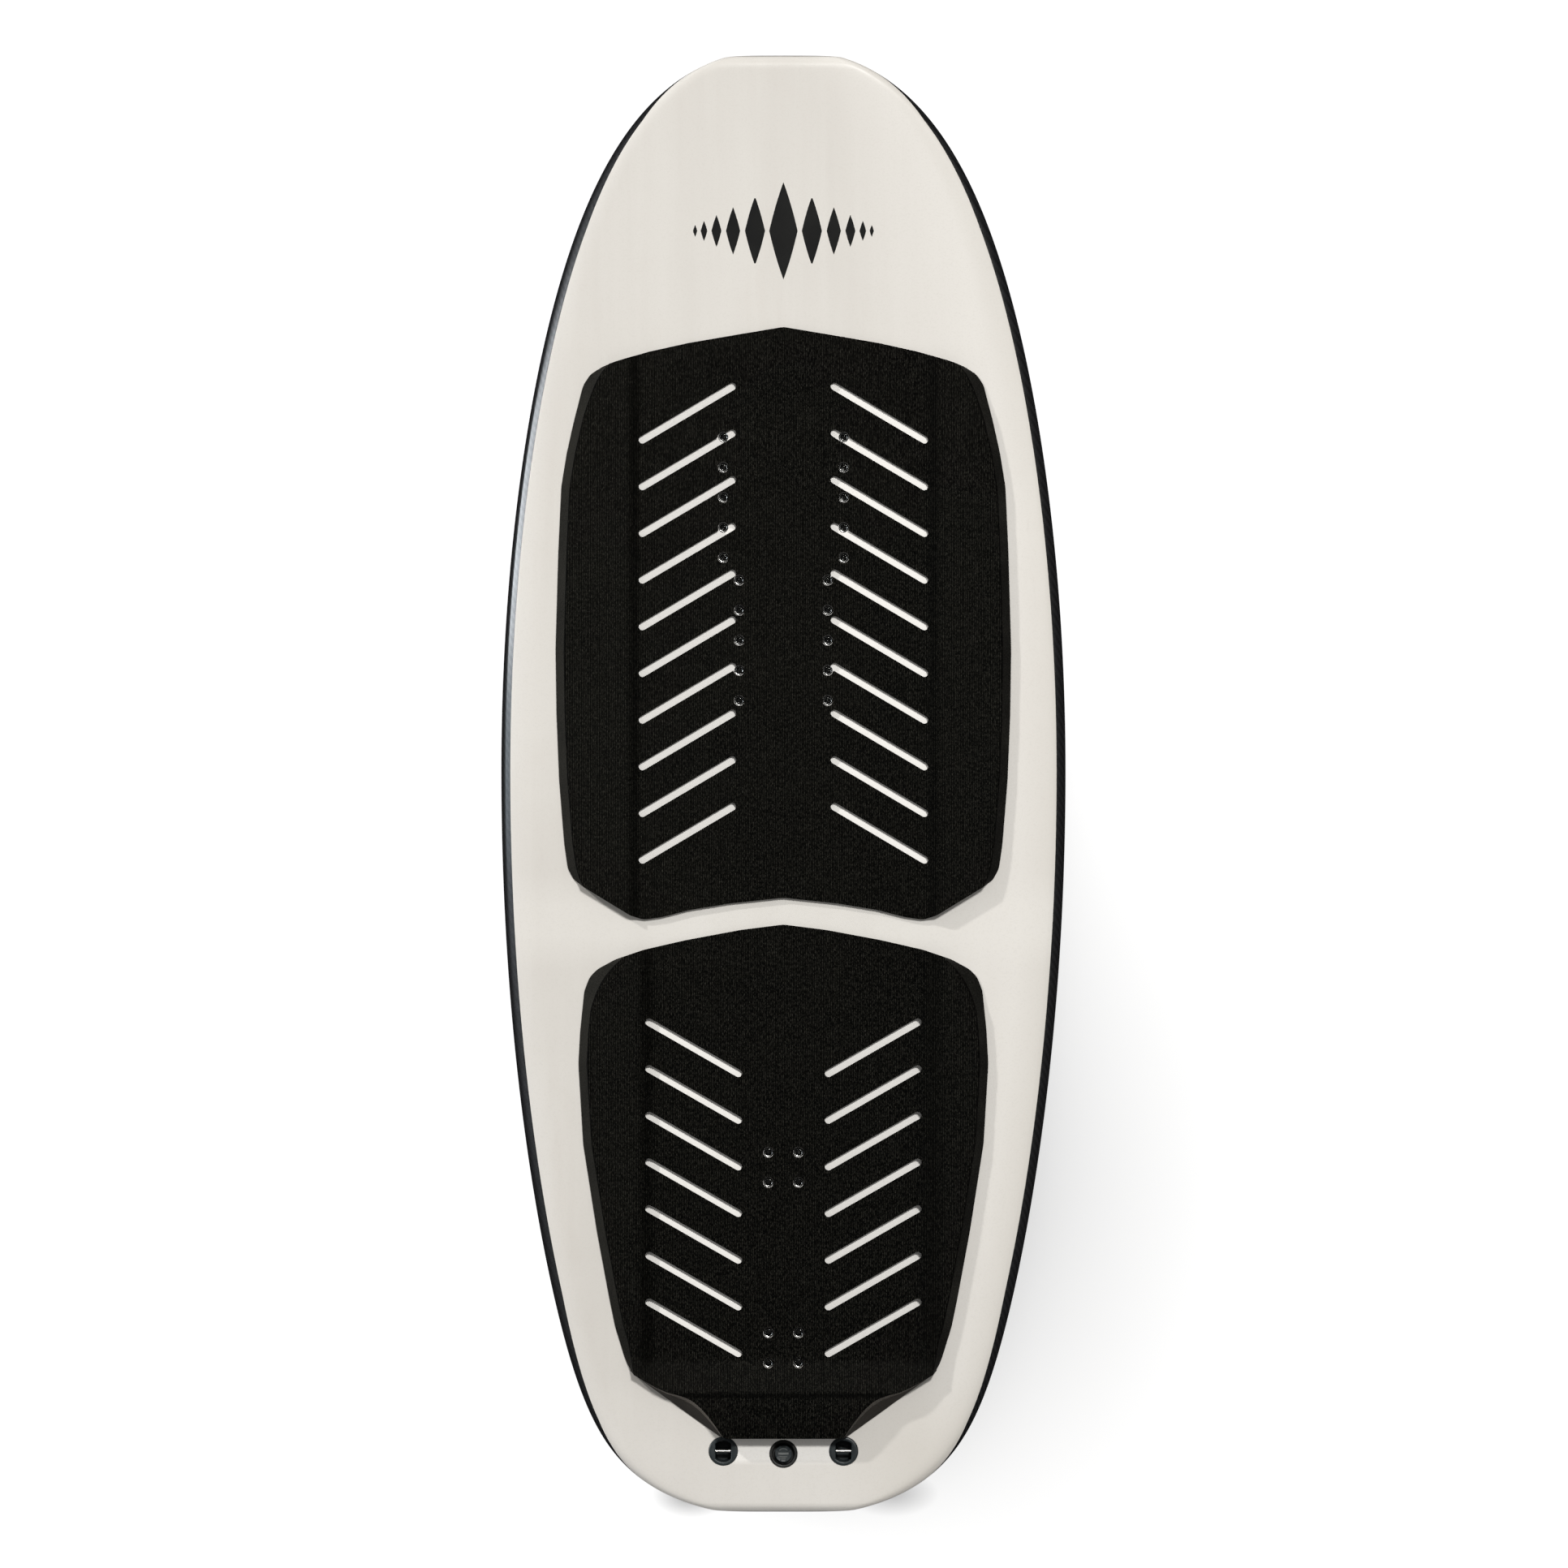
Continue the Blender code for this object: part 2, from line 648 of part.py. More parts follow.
def build_vent_plug(mats, axis):
    profile = [
        (0.0, -PLUG_CHAMBER), (PLUG_CHAMBER_R, -PLUG_CHAMBER), (PLUG_CHAMBER_R, -PLUG_CAVITY),
        (PLUG_CAVITY_R, -PLUG_CAVITY), (PLUG_CAVITY_R, -PLUG_END), (PLUG_SHANK_R, -PLUG_END),
        (PLUG_SHANK_R, -PLUG_UNDER), (PLUG_HEAD_R, -PLUG_UNDER),
        (PLUG_HEAD_R, -PLUG_TOP - PLUG_CHAMFER), (PLUG_HEAD_R - PLUG_CHAMFER, -PLUG_TOP),
        (0.0, -PLUG_TOP),
    ]
    plug = add_turned("vent_plug", profile, mats["slate"], axis)
    slits = (
        (CROSS_HALF_LENGTH, CROSS_HALF_WIDTH),
        (CROSS_HALF_WIDTH, CROSS_HALF_LENGTH),
    )
    for k, (half_x, half_y) in enumerate(slits):
        outline = box_outline(-half_x, half_x, -half_y, half_y)
        slit = add_prism_cutter(f"cut_plug_vent_{k}", [(outline, *CROSS_Z)])
        slit.parent = axis
        boolean(plug, slit)


def build_vent_oring(mats, axis):
    cord = []
    for k in range(RING_CORD_STEPS):
        angle = 2 * math.pi * k / RING_CORD_STEPS
        radius = RING_R + RING_CORD_R * math.cos(angle)
        cord.append((radius, -RING_DROP + RING_CORD_R * math.sin(angle)))
    add_turned("vent_oring", cord, mats["rubber"], axis, smooth=SEAL_SMOOTH)


def build_vent_membrane(mats, axis):
    top, low = MEMBRANE_Z
    profile = [(0.0, top), (MEMBRANE_R, top), (MEMBRANE_R, low), (0.0, low)]
    mat = mats["membrane"]
    add_turned("vent_membrane", profile, mat, axis, steps=MEMBRANE_STEPS, smooth=0.0)


def build_vent_retainer(mats, axis):
    low, high = RETAINER_Z
    profile = [
        (RETAINER_BORE_R, low), (RETAINER_BORE_R, high), (MEMBRANE_R, high), (MEMBRANE_R, low),
    ]
    add_turned("vent_retainer", profile, mats["slate"], axis)


def build_vent(mats):
    """The screw-in vent: everything that turns hangs under one empty on its axis."""
    axis = add_object("vent_axis", None, location=(0.0, VENT_Y, DECK_Z))
    build_vent_housing(mats)
    build_vent_plug(mats, axis)
    build_vent_oring(mats, axis)
    build_vent_membrane(mats, axis)
    build_vent_retainer(mats, axis)


# ================================================================== hull pieces
# blocks inside the foam: x low, x high, y low, y high
FRONT_BLOCK = (26.0, 62.0, 58.0, 306.0)
FRONT_BLOCK_PORT = (-62.0, -26.0, 58.0, 306.0)
TAIL_BLOCK = (-26.0, 26.0, -501.0, -450.0)
MAST_BLOCK = (-68.0, 68.0, TRACK_Y - 142.0, TRACK_Y + 142.0)
BLOCK_Z = 36.7  # underside of the insert blocks
# name, place, underside, floor of the pocket in the foam
BLOCKS = (
    ("insert_block_front_starboard", FRONT_BLOCK, BLOCK_Z, BLOCK_Z - GAP),
    ("insert_block_front_port", FRONT_BLOCK_PORT, BLOCK_Z, BLOCK_Z - GAP),
    ("insert_block_tail", TAIL_BLOCK, BLOCK_Z, BLOCK_Z - GAP),
    ("mast_block", MAST_BLOCK, SKIN + GAP, CUT_BOTTOM),
)
FLANGE_HOLE_FLOOR = 50.0
FLANGE_HOLE_STEPS = 24
BODY_HOLE_STEPS = 20
CUP_CLEARANCE = 1.0  # foam pocket below the leash cup
VENT_CLEARANCE = 4.0  # foam pocket below the vent


def round_hole(x, y, radius, steps, floor):
    return (circle(x, y, radius + ROUND_GAP, steps), floor, CUT_TOP)


def fitting_holes(cup_radius, cup_floor, vent_radius, vent_floor, steps):
    """Holes for the two leash cups and the vent."""
    holes = [round_hole(x, LEASH_Y, cup_radius, steps, cup_floor) for x in (LEASH_X, -LEASH_X)]
    return holes + [round_hole(0.0, VENT_Y, vent_radius, steps, vent_floor)]


def build_deck_shell(mats, insert_holes):
    mesh = skin_mesh("deck_shell", deck_angles, seam_index=0)
    deck = add_object("deck_shell", mesh, mats["deck"], smooth=HULL_SMOOTH)
    holes = fitting_holes(
        CUP_FLANGE_R, FLANGE_HOLE_FLOOR, VENT_FLANGE_R, FLANGE_HOLE_FLOOR, FLANGE_HOLE_STEPS
    )
    boolean(deck, insert_holes)
    boolean(deck, add_prism_cutter("cut_fitting_holes", holes))


def build_bottom_shell(mats, track_pockets):
    mesh = skin_mesh("bottom_shell", bottom_angles, seam_index=-1)
    bottom = add_object("bottom_shell", mesh, mats["carbon"], smooth=HULL_SMOOTH)
    boolean(bottom, track_pockets)


def build_foam_core(mats):
    core = add_object("foam_core", core_mesh("foam_core"), mats["foam"])
    pockets = []
    for _, (low_x, high_x, low_y, high_y), _, floor in BLOCKS:
        outline = box_outline(low_x - GAP, high_x + GAP, low_y - GAP, high_y + GAP)
        pockets.append((outline, floor, CUT_TOP))
    cup_floor = DECK_Z - CUP_DEPTH - CUP_CLEARANCE
    vent_floor = DECK_Z - VENT_DEPTH - VENT_CLEARANCE
    pockets += fitting_holes(CUP_BODY_R, cup_floor, VENT_BODY_R, vent_floor, BODY_HOLE_STEPS)
    boolean(core, add_prism_cutter("cut_core_pockets", pockets))


def build_blocks(mats, insert_holes, track_pockets):
    under_skin = DECK_Z - SKIN - GAP
    for name, place, underside, _ in BLOCKS:
        mesh = prisms(name, [(box_outline(*place), underside, under_skin)])
        block = add_object(name, mesh, mats["block"])
        boolean(block, insert_holes)
        if name == "mast_block":
            boolean(block, track_pockets)


def build_hull(mats):
    insert_holes = insert_hole_cutter("cut_insert_holes", INSERT_HOLE_R, INSERT_HOLE_SIDES)
    track_pockets = track_pocket_cutter()
    build_deck_shell(mats, insert_holes)
    build_bottom_shell(mats, track_pockets)
    build_foam_core(mats)
    build_blocks(mats, insert_holes, track_pockets)


# ================================================================== deck pads
PAD_THICK = 5.0  # flat middle of each pad
WING_HEIGHT = 12.0  # raised outer wings
FRONT_FOLD = (120.0, 131.0)  # x of the ramp between the flat and the wing
REAR_FOLD = (109.0, 122.0)
# sheets before trimming: half width, and y from tail side to nose side
FRONT_SHEET_HALF = 205.0
FRONT_SHEET_Y = (-125.0, 395.0)
REAR_SHEET_HALF = 185.0
REAR_SHEET_Y = (-480.0, -110.0)
WEDGE_HALF = 160.0

EDGE_LIP = 1.5  # upright edge below the bevelled side
SIDE_SLOPE = 0.857  # bevelled side: inward run for each unit of height
SIDE_BLEND = (0.3, 0.8)  # sideways share of the edge direction over which the bevel grows
BEVEL_HEIGHT = WING_HEIGHT + 1.5
KICK_EDGE_Y = -490.0  # aft of this the edge follows the kick
KICK_BEVEL_HEIGHT = 22.0
KICK_SLOPE = 0.632
TAIL_CORNER_SLOPE = 0.25
KICK_BLEND_Y = (-548.0, -538.0)  # from the tail corner slope to the kick slope
TAIL_EDGE_Y = -551.0  # aft of this the edge stays upright along Y
CENTRE_HALF = 1.0  # points nearer the centre line than this have no bevel
ENVELOPE_Z = (50.0, 110.0)

# raised tail end of the rear pad: (y, height above the deck)
KICK_PROFILE = (
    (-487.4, PAD_THICK), (-511.4, 17.0), (-525.0, 20.0),
    (-540.0, 19.4), (-552.0, 17.0), (-562.0, 14.0),
)
KICK_TIP_Y = -494.0

# half outlines (x, y), from the nose side of the centre line to the tail side
FRONT_PAD_EDGE = (
    (0.0, 386.0), (45.0, 378.5), (80.0, 372.5), (114.0, 365.0), (141.0, 357.0),
    (152.0, 353.0), (163.0, 346.0), (169.0, 337.0), (177.0, 306.0), (183.0, 279.0),
    (187.5, 251.0), (190.0, 196.0), (192.3, 114.0), (191.5, 59.0), (189.3, 4.0),
    (185.0, -50.0), (182.0, -71.0), (177.0, -80.5), (168.0, -87.0), (129.0, -110.8),
    (118.0, -114.2), (103.0, -112.2), (79.0, -106.0), (45.0, -100.5), (0.0, -95.7),
)
REAR_PAD_EDGE = (
    (0.0, -118.3), (37.0, -123.0), (82.0, -131.4), (118.0, -139.6), (142.0, -147.8),
    (157.0, -156.0), (163.5, -162.5), (168.0, -174.0), (171.5, -208.0), (173.0, -236.0),
    (169.0, -303.5), (157.5, -377.0), (146.8, -434.6), (142.0, -458.0), (134.0, -484.0),
    (129.0, -496.3), (114.0, -510.8), (79.0, -535.4), (52.0, -551.9), (0.0, -551.9),
)

# drain slots: centres of the two round ends of the foremost slot, then the count
FRONT_SLOT = ((43.1, 335.8), (119.0, 290.9), 10)
REAR_SLOT = ((38.1, -243.9), (113.4, -200.7), 7)
SLOT_R = 3.2
SLOT_PITCH = -39.4
SLOT_ARC_STEPS = 4
SLOT_FLOOR = 58.0


def pad_outline(half_edge):
    """Closed outline, starboard side first, and the inward direction at each point."""
    loop = list(half_edge) + [(-x, y) for x, y in reversed(half_edge) if x != 0.0]
    inward = []
    for k, here in enumerate(loop):
        total = Vector((0.0, 0.0))
        for start, end in ((loop[k - 1], here), (here, loop[(k + 1) % len(loop)])):
            edge = (Vector(end) - Vector(start)).normalized()
            total += Vector((edge.y, -edge.x))
        inward.append(total.normalized())
    return loop, inward


def side_bevel(x, y, direction, kicked):
    """Slope and height of the pad's side at an outline point."""
    if not kicked or y >= KICK_EDGE_Y:
        return SIDE_SLOPE * smoothstep(*SIDE_BLEND, abs(direction.x)), BEVEL_HEIGHT
    if abs(x) < CENTRE_HALF:
        return 0.0, KICK_BEVEL_HEIGHT
    share = smoothstep(*KICK_BLEND_Y, y)
    return TAIL_CORNER_SLOPE + (KICK_SLOPE - TAIL_CORNER_SLOPE) * share, KICK_BEVEL_HEIGHT


def pad_envelope(name, half_edge, kicked):
    """The pad's plan shape, with its bevelled sides."""
    loop, inward = pad_outline(half_edge)
    levels = [[], [], [], []]
    for (x, y), direction in zip(loop, inward):
        slope, height = side_bevel(x, y, direction, kicked)
        run = slope * (height - EDGE_LIP)
        inner_x, inner_y = x + direction.x * run, y + direction.y * run
        if kicked and y < TAIL_EDGE_Y:
            inner_y = y
        deck = faceted_deck(y)
        levels[0].append((x, y, ENVELOPE_Z[0]))
        levels[1].append((x, y, deck + EDGE_LIP))
        levels[2].append((inner_x, inner_y, deck + height))
        levels[3].append((inner_x, inner_y, ENVELOPE_Z[1]))
    count = len(loop)
    faces = [list(range(count)), list(range(3 * count, 4 * count))]
    for level in range(3):
        faces += wall_faces(level * count, count)
    return mesh_of(name, [point for level in levels for point in level], faces)


def wing(x, fold):
    """Height of the pad top: flat middle, ramp, raised wing."""
    share = min(1.0, max(0.0, (abs(x) - fold[0]) / (fold[1] - fold[0])))
    return PAD_THICK + (WING_HEIGHT - PAD_THICK) * share


def kick(y):
    return interpolate(KICK_PROFILE, y)


def flat_under(x, y):
    return GAP


def slab(name, columns, rows, top, under):
    """A sheet over a grid: top and under give heights above the deck at (x, y)."""
    points, faces = [], []
    for height in (top, under):
        for y in rows:
            points += [(x, y, faceted_deck(y) + height(x, y)) for x in columns]
    wide, deep = len(columns), len(rows)
    count = wide * deep
    for layer in (0, count):
        for j in range(deep - 1):
            for i in range(wide - 1):
                corner = layer + j * wide + i
                opposite = corner + wide + 1
                faces += [(corner, corner + 1, opposite), (corner, opposite, opposite - 1)]
    border = list(range(wide))
    border += [j * wide + wide - 1 for j in range(1, deep)]
    border += [(deep - 1) * wide + i for i in range(wide - 2, -1, -1)]
    border += [j * wide for j in range(deep - 2, 0, -1)]
    for here, after in zip(border, border[1:] + border[:1]):
        faces.append((here, after, after + count, here + count))
    return mesh_of(name, points, faces)


def pad_columns(fold, reach):
    return [-reach, -fold[1], -fold[0], fold[0], fold[1], reach]


def pad_rows(low, high):
    return {low, high} | {station for station in STATIONS if low < station < high}


def slot_shapes(slot):
    """Stadium outlines of the drain slots, on both sides of the centre line."""
    (inner_x, inner_y), (outer_x, outer_y), count = slot
    shapes = []
    for side in (1.0, -1.0):
        for k in range(count):
            inner = Vector((side * inner_x, inner_y + k * SLOT_PITCH))
            outer = Vector((side * outer_x, outer_y + k * SLOT_PITCH))
            along = math.atan2(outer.y - inner.y, outer.x - inner.x)
            outline = []
            for centre, start in ((outer, along - math.pi / 2), (inner, along + math.pi / 2)):
                for step in range(SLOT_ARC_STEPS + 1):
                    angle = start + math.pi * step / SLOT_ARC_STEPS
                    x = centre.x + SLOT_R * math.cos(angle)
                    outline.append((x, centre.y + SLOT_R * math.sin(angle)))
            shapes.append((outline, SLOT_FLOOR, CUT_TOP))
    return shapes


def build_front_pad(mats, insert_holes):
    def top(x, y):
        return wing(x, FRONT_FOLD)

    columns = pad_columns(FRONT_FOLD, FRONT_SHEET_HALF)
    mesh = slab("front_pad", columns, sorted(pad_rows(*FRONT_SHEET_Y)), top, flat_under)
    pad = add_object("front_pad", mesh, mats["eva"], smooth=PAD_SMOOTH)
    envelope = pad_envelope("trim_front_pad", FRONT_PAD_EDGE, kicked=False)
    boolean(pad, add_cutter("trim_front_pad", envelope), "INTERSECT")
    boolean(pad, add_prism_cutter("cut_front_slots", slot_shapes(FRONT_SLOT)))
    boolean(pad, insert_holes)


def build_rear_pad(mats, trim, insert_holes):
    """The rear pad, lifted over the kick wedge at its tail end."""

    def top(x, y):
        return max(wing(x, REAR_FOLD), kick(y))

    def under(x, y):
        return GAP + max(0.0, kick(y) - PAD_THICK)

    columns = pad_columns(REAR_FOLD, REAR_SHEET_HALF)
    rows = sorted(pad_rows(*REAR_SHEET_Y) | {y for y, _ in KICK_PROFILE})
    mesh = slab("rear_pad", columns, rows, top, under)
    pad = add_object("rear_pad", mesh, mats["eva"], smooth=PAD_SMOOTH)
    boolean(pad, trim, "INTERSECT")
    boolean(pad, add_prism_cutter("cut_rear_slots", slot_shapes(REAR_SLOT)))
    boolean(pad, insert_holes)


def build_kick_wedge(mats, trim):
    def top(x, y):
        return kick(y) - PAD_THICK

    rows = sorted({KICK_TIP_Y} | {y for y, _ in KICK_PROFILE if y < KICK_TIP_Y})
    mesh = slab("kick_wedge", [-WEDGE_HALF, WEDGE_HALF], rows, top, flat_under)
    boolean(add_object("kick_wedge", mesh, mats["eva_grey"]), trim, "INTERSECT")


def build_pads(mats):
    insert_holes = insert_hole_cutter("cut_pad_holes", PAD_HOLE_R, PAD_HOLE_SIDES)
    envelope = pad_envelope("trim_rear_pad", REAR_PAD_EDGE, kicked=True)
    rear_trim = add_cutter("trim_rear_pad", envelope)
    build_front_pad(mats, insert_holes)
    build_rear_pad(mats, rear_trim, insert_holes)
    build_kick_wedge(mats, rear_trim)


def main():
    clear_scene()
    mats = {key: make_material(*values) for key, values in MATERIALS.items()}
    build_hull(mats)
    build_inserts(mats)
    build_pads(mats)
    build_tracks(mats)
    build_leash_plugs(mats)
    build_vent(mats)


main()
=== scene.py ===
"""Looks of the foil-ready wake board: fine surfaces, finishes, floor, light and camera.

Frame: +Y runs to the nose, +X to starboard, +Z up, origin under the middle of the board.
Geometry is worked out in millimetres and made into meshes in metres. Materials, lights
and the floor are in metres.
"""

import json
import math

import bmesh
import bpy
import numpy as np
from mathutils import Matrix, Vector

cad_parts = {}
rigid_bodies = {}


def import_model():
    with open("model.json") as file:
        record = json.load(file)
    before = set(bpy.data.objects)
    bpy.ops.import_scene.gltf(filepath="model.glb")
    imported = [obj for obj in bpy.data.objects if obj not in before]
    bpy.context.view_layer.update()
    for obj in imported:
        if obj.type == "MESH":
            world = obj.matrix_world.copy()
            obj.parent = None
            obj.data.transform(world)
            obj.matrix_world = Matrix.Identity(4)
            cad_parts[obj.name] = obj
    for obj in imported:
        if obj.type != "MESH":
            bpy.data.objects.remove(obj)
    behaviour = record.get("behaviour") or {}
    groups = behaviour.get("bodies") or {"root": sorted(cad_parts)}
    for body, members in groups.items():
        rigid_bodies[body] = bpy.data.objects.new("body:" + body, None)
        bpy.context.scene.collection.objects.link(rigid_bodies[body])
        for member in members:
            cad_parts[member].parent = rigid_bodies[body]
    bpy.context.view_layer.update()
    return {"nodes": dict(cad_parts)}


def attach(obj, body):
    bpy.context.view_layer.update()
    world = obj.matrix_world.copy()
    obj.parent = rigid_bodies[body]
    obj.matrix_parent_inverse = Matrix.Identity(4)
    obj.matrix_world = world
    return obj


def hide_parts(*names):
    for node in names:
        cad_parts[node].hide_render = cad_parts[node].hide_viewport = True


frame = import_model()
MM = 0.001


# ================================================================== small tools
def shade(mesh, sharp):
    mesh.shade_smooth()
    mesh.set_sharp_from_angle(angle=math.radians(sharp))


def make_object(name, points, faces, materials, face_slots=None, sharp=35.0,
                place=(0.0, 0.0, 0.0), fix=False):
    """Mesh object from millimetre points; `fix` turns all the faces outward."""
    mesh = bpy.data.meshes.new(name)
    mesh.from_pydata((np.asarray(points, float) * MM).tolist(), [], faces)
    for material in materials:
        mesh.materials.append(material)
    if face_slots is not None:
        mesh.polygons.foreach_set("material_index", np.asarray(face_slots, np.int32))
    if fix:
        shell = bmesh.new()
        shell.from_mesh(mesh)
        bmesh.ops.recalc_face_normals(shell, faces=shell.faces)
        shell.to_mesh(mesh)
        shell.free()
    shade(mesh, sharp)
    mesh.update()
    obj = bpy.data.objects.new(name, mesh)
    bpy.context.scene.collection.objects.link(obj)
    obj.location = Vector(place) * MM
    return obj


def register(obj, rides, stands_for):
    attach(obj, rides)
    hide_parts(stands_for)


def cut(obj, cutters, operation="DIFFERENCE", sharp=35.0):
    """Cuts with closed helper meshes, bakes the result and drops the helpers."""
    for cutter in cutters:
        modifier = obj.modifiers.new("cut", "BOOLEAN")
        modifier.operation = operation
        modifier.solver = "EXACT"
        modifier.object = cutter
    bpy.context.view_layer.update()
    graph = bpy.context.evaluated_depsgraph_get()
    mesh = bpy.data.meshes.new_from_object(
        obj.evaluated_get(graph), preserve_all_data_layers=True, depsgraph=graph)
    obj.modifiers.clear()
    obj.data = mesh
    shade(mesh, sharp)
    for cutter in cutters:
        bpy.data.objects.remove(cutter, do_unlink=True)


def circle(middle_x, middle_y, radius, count):
    angles = [2 * math.pi * (k + 0.5) / count for k in range(count)]
    return [(middle_x + radius * math.cos(a), middle_y + radius * math.sin(a)) for a in angles]


def rounded_box(middle_x, middle_y, half_x, half_y, radius, grow=0.0, steps=6):
    """Rectangle with round corners; `grow` sets the whole outline outward."""
    radius += grow
    points = []
    for side_x, side_y, start in ((1, 1, 0.0), (-1, 1, 90.0), (-1, -1, 180.0), (1, -1, 270.0)):
        corner_x = middle_x + side_x * (half_x + grow - radius)
        corner_y = middle_y + side_y * (half_y + grow - radius)
        for k in range(steps + 1):
            angle = math.radians(start + 90.0 * k / steps)
            points.append((corner_x + radius * math.cos(angle),
                           corner_y + radius * math.sin(angle)))
    return points


def arc_band(radii, sweep, count, turn=0.0):
    """Outline of a curved bar between two radii, about the origin."""
    return [
        (radius * math.cos(turn + a), radius * math.sin(turn + a))
        for radius, (start, end) in ((radii[0], sweep), (radii[1], sweep[::-1]))
        for a in np.linspace(start, end, count)
    ]


def upright(outline, *heights):
    """Levels of a prism with the same outline all the way up."""
    return [(outline, z) for z in heights]


def prisms(name, shapes, materials=(), **more):
    """Closed prisms: each shape is a list of (outline, z), outlines with equal counts."""
    points, faces = [], []
    for levels in shapes:
        start, count = len(points), len(levels[0][0])
        for outline, z in levels:
            points += [(x, y, z) for x, y in outline]
        faces.append([start + k for k in range(count)][::-1])
        top = start + (len(levels) - 1) * count
        faces.append([top + k for k in range(count)])
        for low in range(start, top, count):
            high = low + count
            for k in range(count):
                j = (k + 1) % count
                faces.append([low + k, low + j, high + j, high + k])
    return make_object(name, points, faces, materials, fix=True, **more)


CREST_FLAT, FLANK = 0.12, 0.70  # shares of half a thread pitch


def thread_wave(phase):
    """0 at the crest, 1 at the root, with flats on both."""
    from_middle = abs((phase % 1.0) - 0.5) * 2.0
    return min(1.0, max(0.0, (from_middle - CREST_FLAT) / FLANK))


def threaded(radius, start, end, depth, pitch, per_turn):
    """Rows of a threaded wall between two heights; the thread runs out over half a pitch."""
    count = max(2, int(abs(end - start) / pitch * per_turn))
    rows = []
    for k in range(count + 1):
        z = start + (end - start) * k / count
        ease = min(1.0, abs(z - start) / (0.5 * pitch), abs(z - end) / (0.5 * pitch))
        rows.append((radius, z, depth * ease if ease > 1e-6 else 0.0))
    return rows


def revolved(name, rows, steps, materials=(), pitch=1.0, sharp=35.0, place=(0.0, 0.0, 0.0),
             lobes=None):
    """Turned solid about Z from rows (radius, z[, thread depth]).

    A radius of 0 closes it on the axis. Lobes are (count, low z, high z, depth).
    """
    points, rings = [], []
    for row in rows:
        radius, z, depth = (*row, 0.0)[:3]
        if radius == 0.0:
            rings.append([len(points)] * steps)
            points.append((0.0, 0.0, z))
            continue
        rings.append([len(points) + k for k in range(steps)])
        for k in range(steps):
            angle = 2 * math.pi * k / steps
            reach = radius
            if depth:
                reach += depth * thread_wave(z / pitch - k / steps)
            if lobes and lobes[1] <= z <= lobes[2]:
                reach -= lobes[3] * 0.5 * (1 + math.cos(lobes[0] * angle))
            points.append((reach * math.cos(angle), reach * math.sin(angle), z))
    closed = rows[0][0] == 0.0 and rows[-1][0] == 0.0
    pairs = list(zip(rings, rings[1:])) + ([] if closed else [(rings[-1], rings[0])])
    faces = []
    for low, high in pairs:
        for k in range(steps):
            j = (k + 1) % steps
            # the point on the axis counts once
            faces.append(list(dict.fromkeys((low[k], low[j], high[j], high[k]))))
    return make_object(name, points, faces, materials, sharp=sharp, place=place, fix=True)


# ================================================================== hull
HALF_LENGTH, HALF_WIDTH, WIDE_POINT_Y = 615.0, 238.7, 11.3
NOSE_CURVE = {"reach": 609.0, "power": 7.87, "root": 2.195, "share": 0.860}
TAIL_CURVE = {"reach": 631.0, "power": 16.5, "root": 2.0, "share": 0.681}
PLAN_ROUND, PLAN_POWER = 1.8, 2.4  # the blunt nose and tail close over this last length
DECK_Z, DECK_RISE_FROM, DECK_RISE, DECK_RISE_POWER = 62.0, 230.0, 24.0, 1.8
NOSE_ROCKER_FROM, NOSE_ROCKER, NOSE_ROCKER_POWER = 60.0, 50.0, 2.2
TAIL_ROCKER_FROM, TAIL_ROCKER, TAIL_ROCKER_POWER = -440.0, 14.0, 2.0
RAIL_LEVEL = 0.42  # share of the section's height
UPPER_ROLL, UPPER_ROLL_SHARE, UPPER_POWER = 31.0, 0.6, 6.0
LOWER_ROLL, LOWER_ROLL_SHARE, LOWER_POWER = 42.0, 0.75, 1.8
NOSE_ROUND, TAIL_ROUND, END_POWER, END_LEAST = 14.0, 10.0, 3.5, 0.3
# y, distance of the seam inward from the rail
SEAM_BAND = np.array((
    (-591.0, 0.0), (-537.0, 5.0), (-430.0, 8.0), (470.0, 8.0), (560.0, 6.0), (604.0, 0.0),
))
SEAM_LEAST_ANGLE, SEAM_MOST_SHARE = 7.0, 0.8
SKIN, SEAM_GAP = 3.0, 0.12
FLAT_COLUMNS = 12
STATION_COUNT, STATION_TURN, STATION_END = 100, 0.9, 0.03
END_STATIONS = (0.2, 0.45, 0.8, 1.2, 1.7, 2.4, 3.4, 5.0, 8.0, 12.0)  # in from either end
ROLL_STEPS, SIDE_STEPS = 16, 14
INSERT_CLEARANCE, FLANGE_CLEARANCE, FLANGE_FLARE = 0.12, 0.15, 0.55
POCKET_CLEARANCE = 0.15


def half_width(y):
    curve = NOSE_CURVE if y > WIDE_POINT_Y else TAIL_CURVE
    along = abs(y - WIDE_POINT_Y) / curve["reach"]
    share = curve["share"]
    inside = 1.0 - share * along**2 - (1.0 - share) * along ** curve["power"]
    half = HALF_WIDTH * max(0.0, inside) ** (1.0 / curve["root"])
    past = max(0.0, (abs(y) - (HALF_LENGTH - PLAN_ROUND)) / PLAN_ROUND)
    return half * max(0.0, 1.0 - past**PLAN_POWER) ** (1.0 / PLAN_POWER)


def deck_height(y):
    """Height of the deck at one y or at an array of them."""
    along = np.clip((y - DECK_RISE_FROM) / (HALF_LENGTH - DECK_RISE_FROM), 0.0, None)
    return DECK_Z + DECK_RISE * along**DECK_RISE_POWER


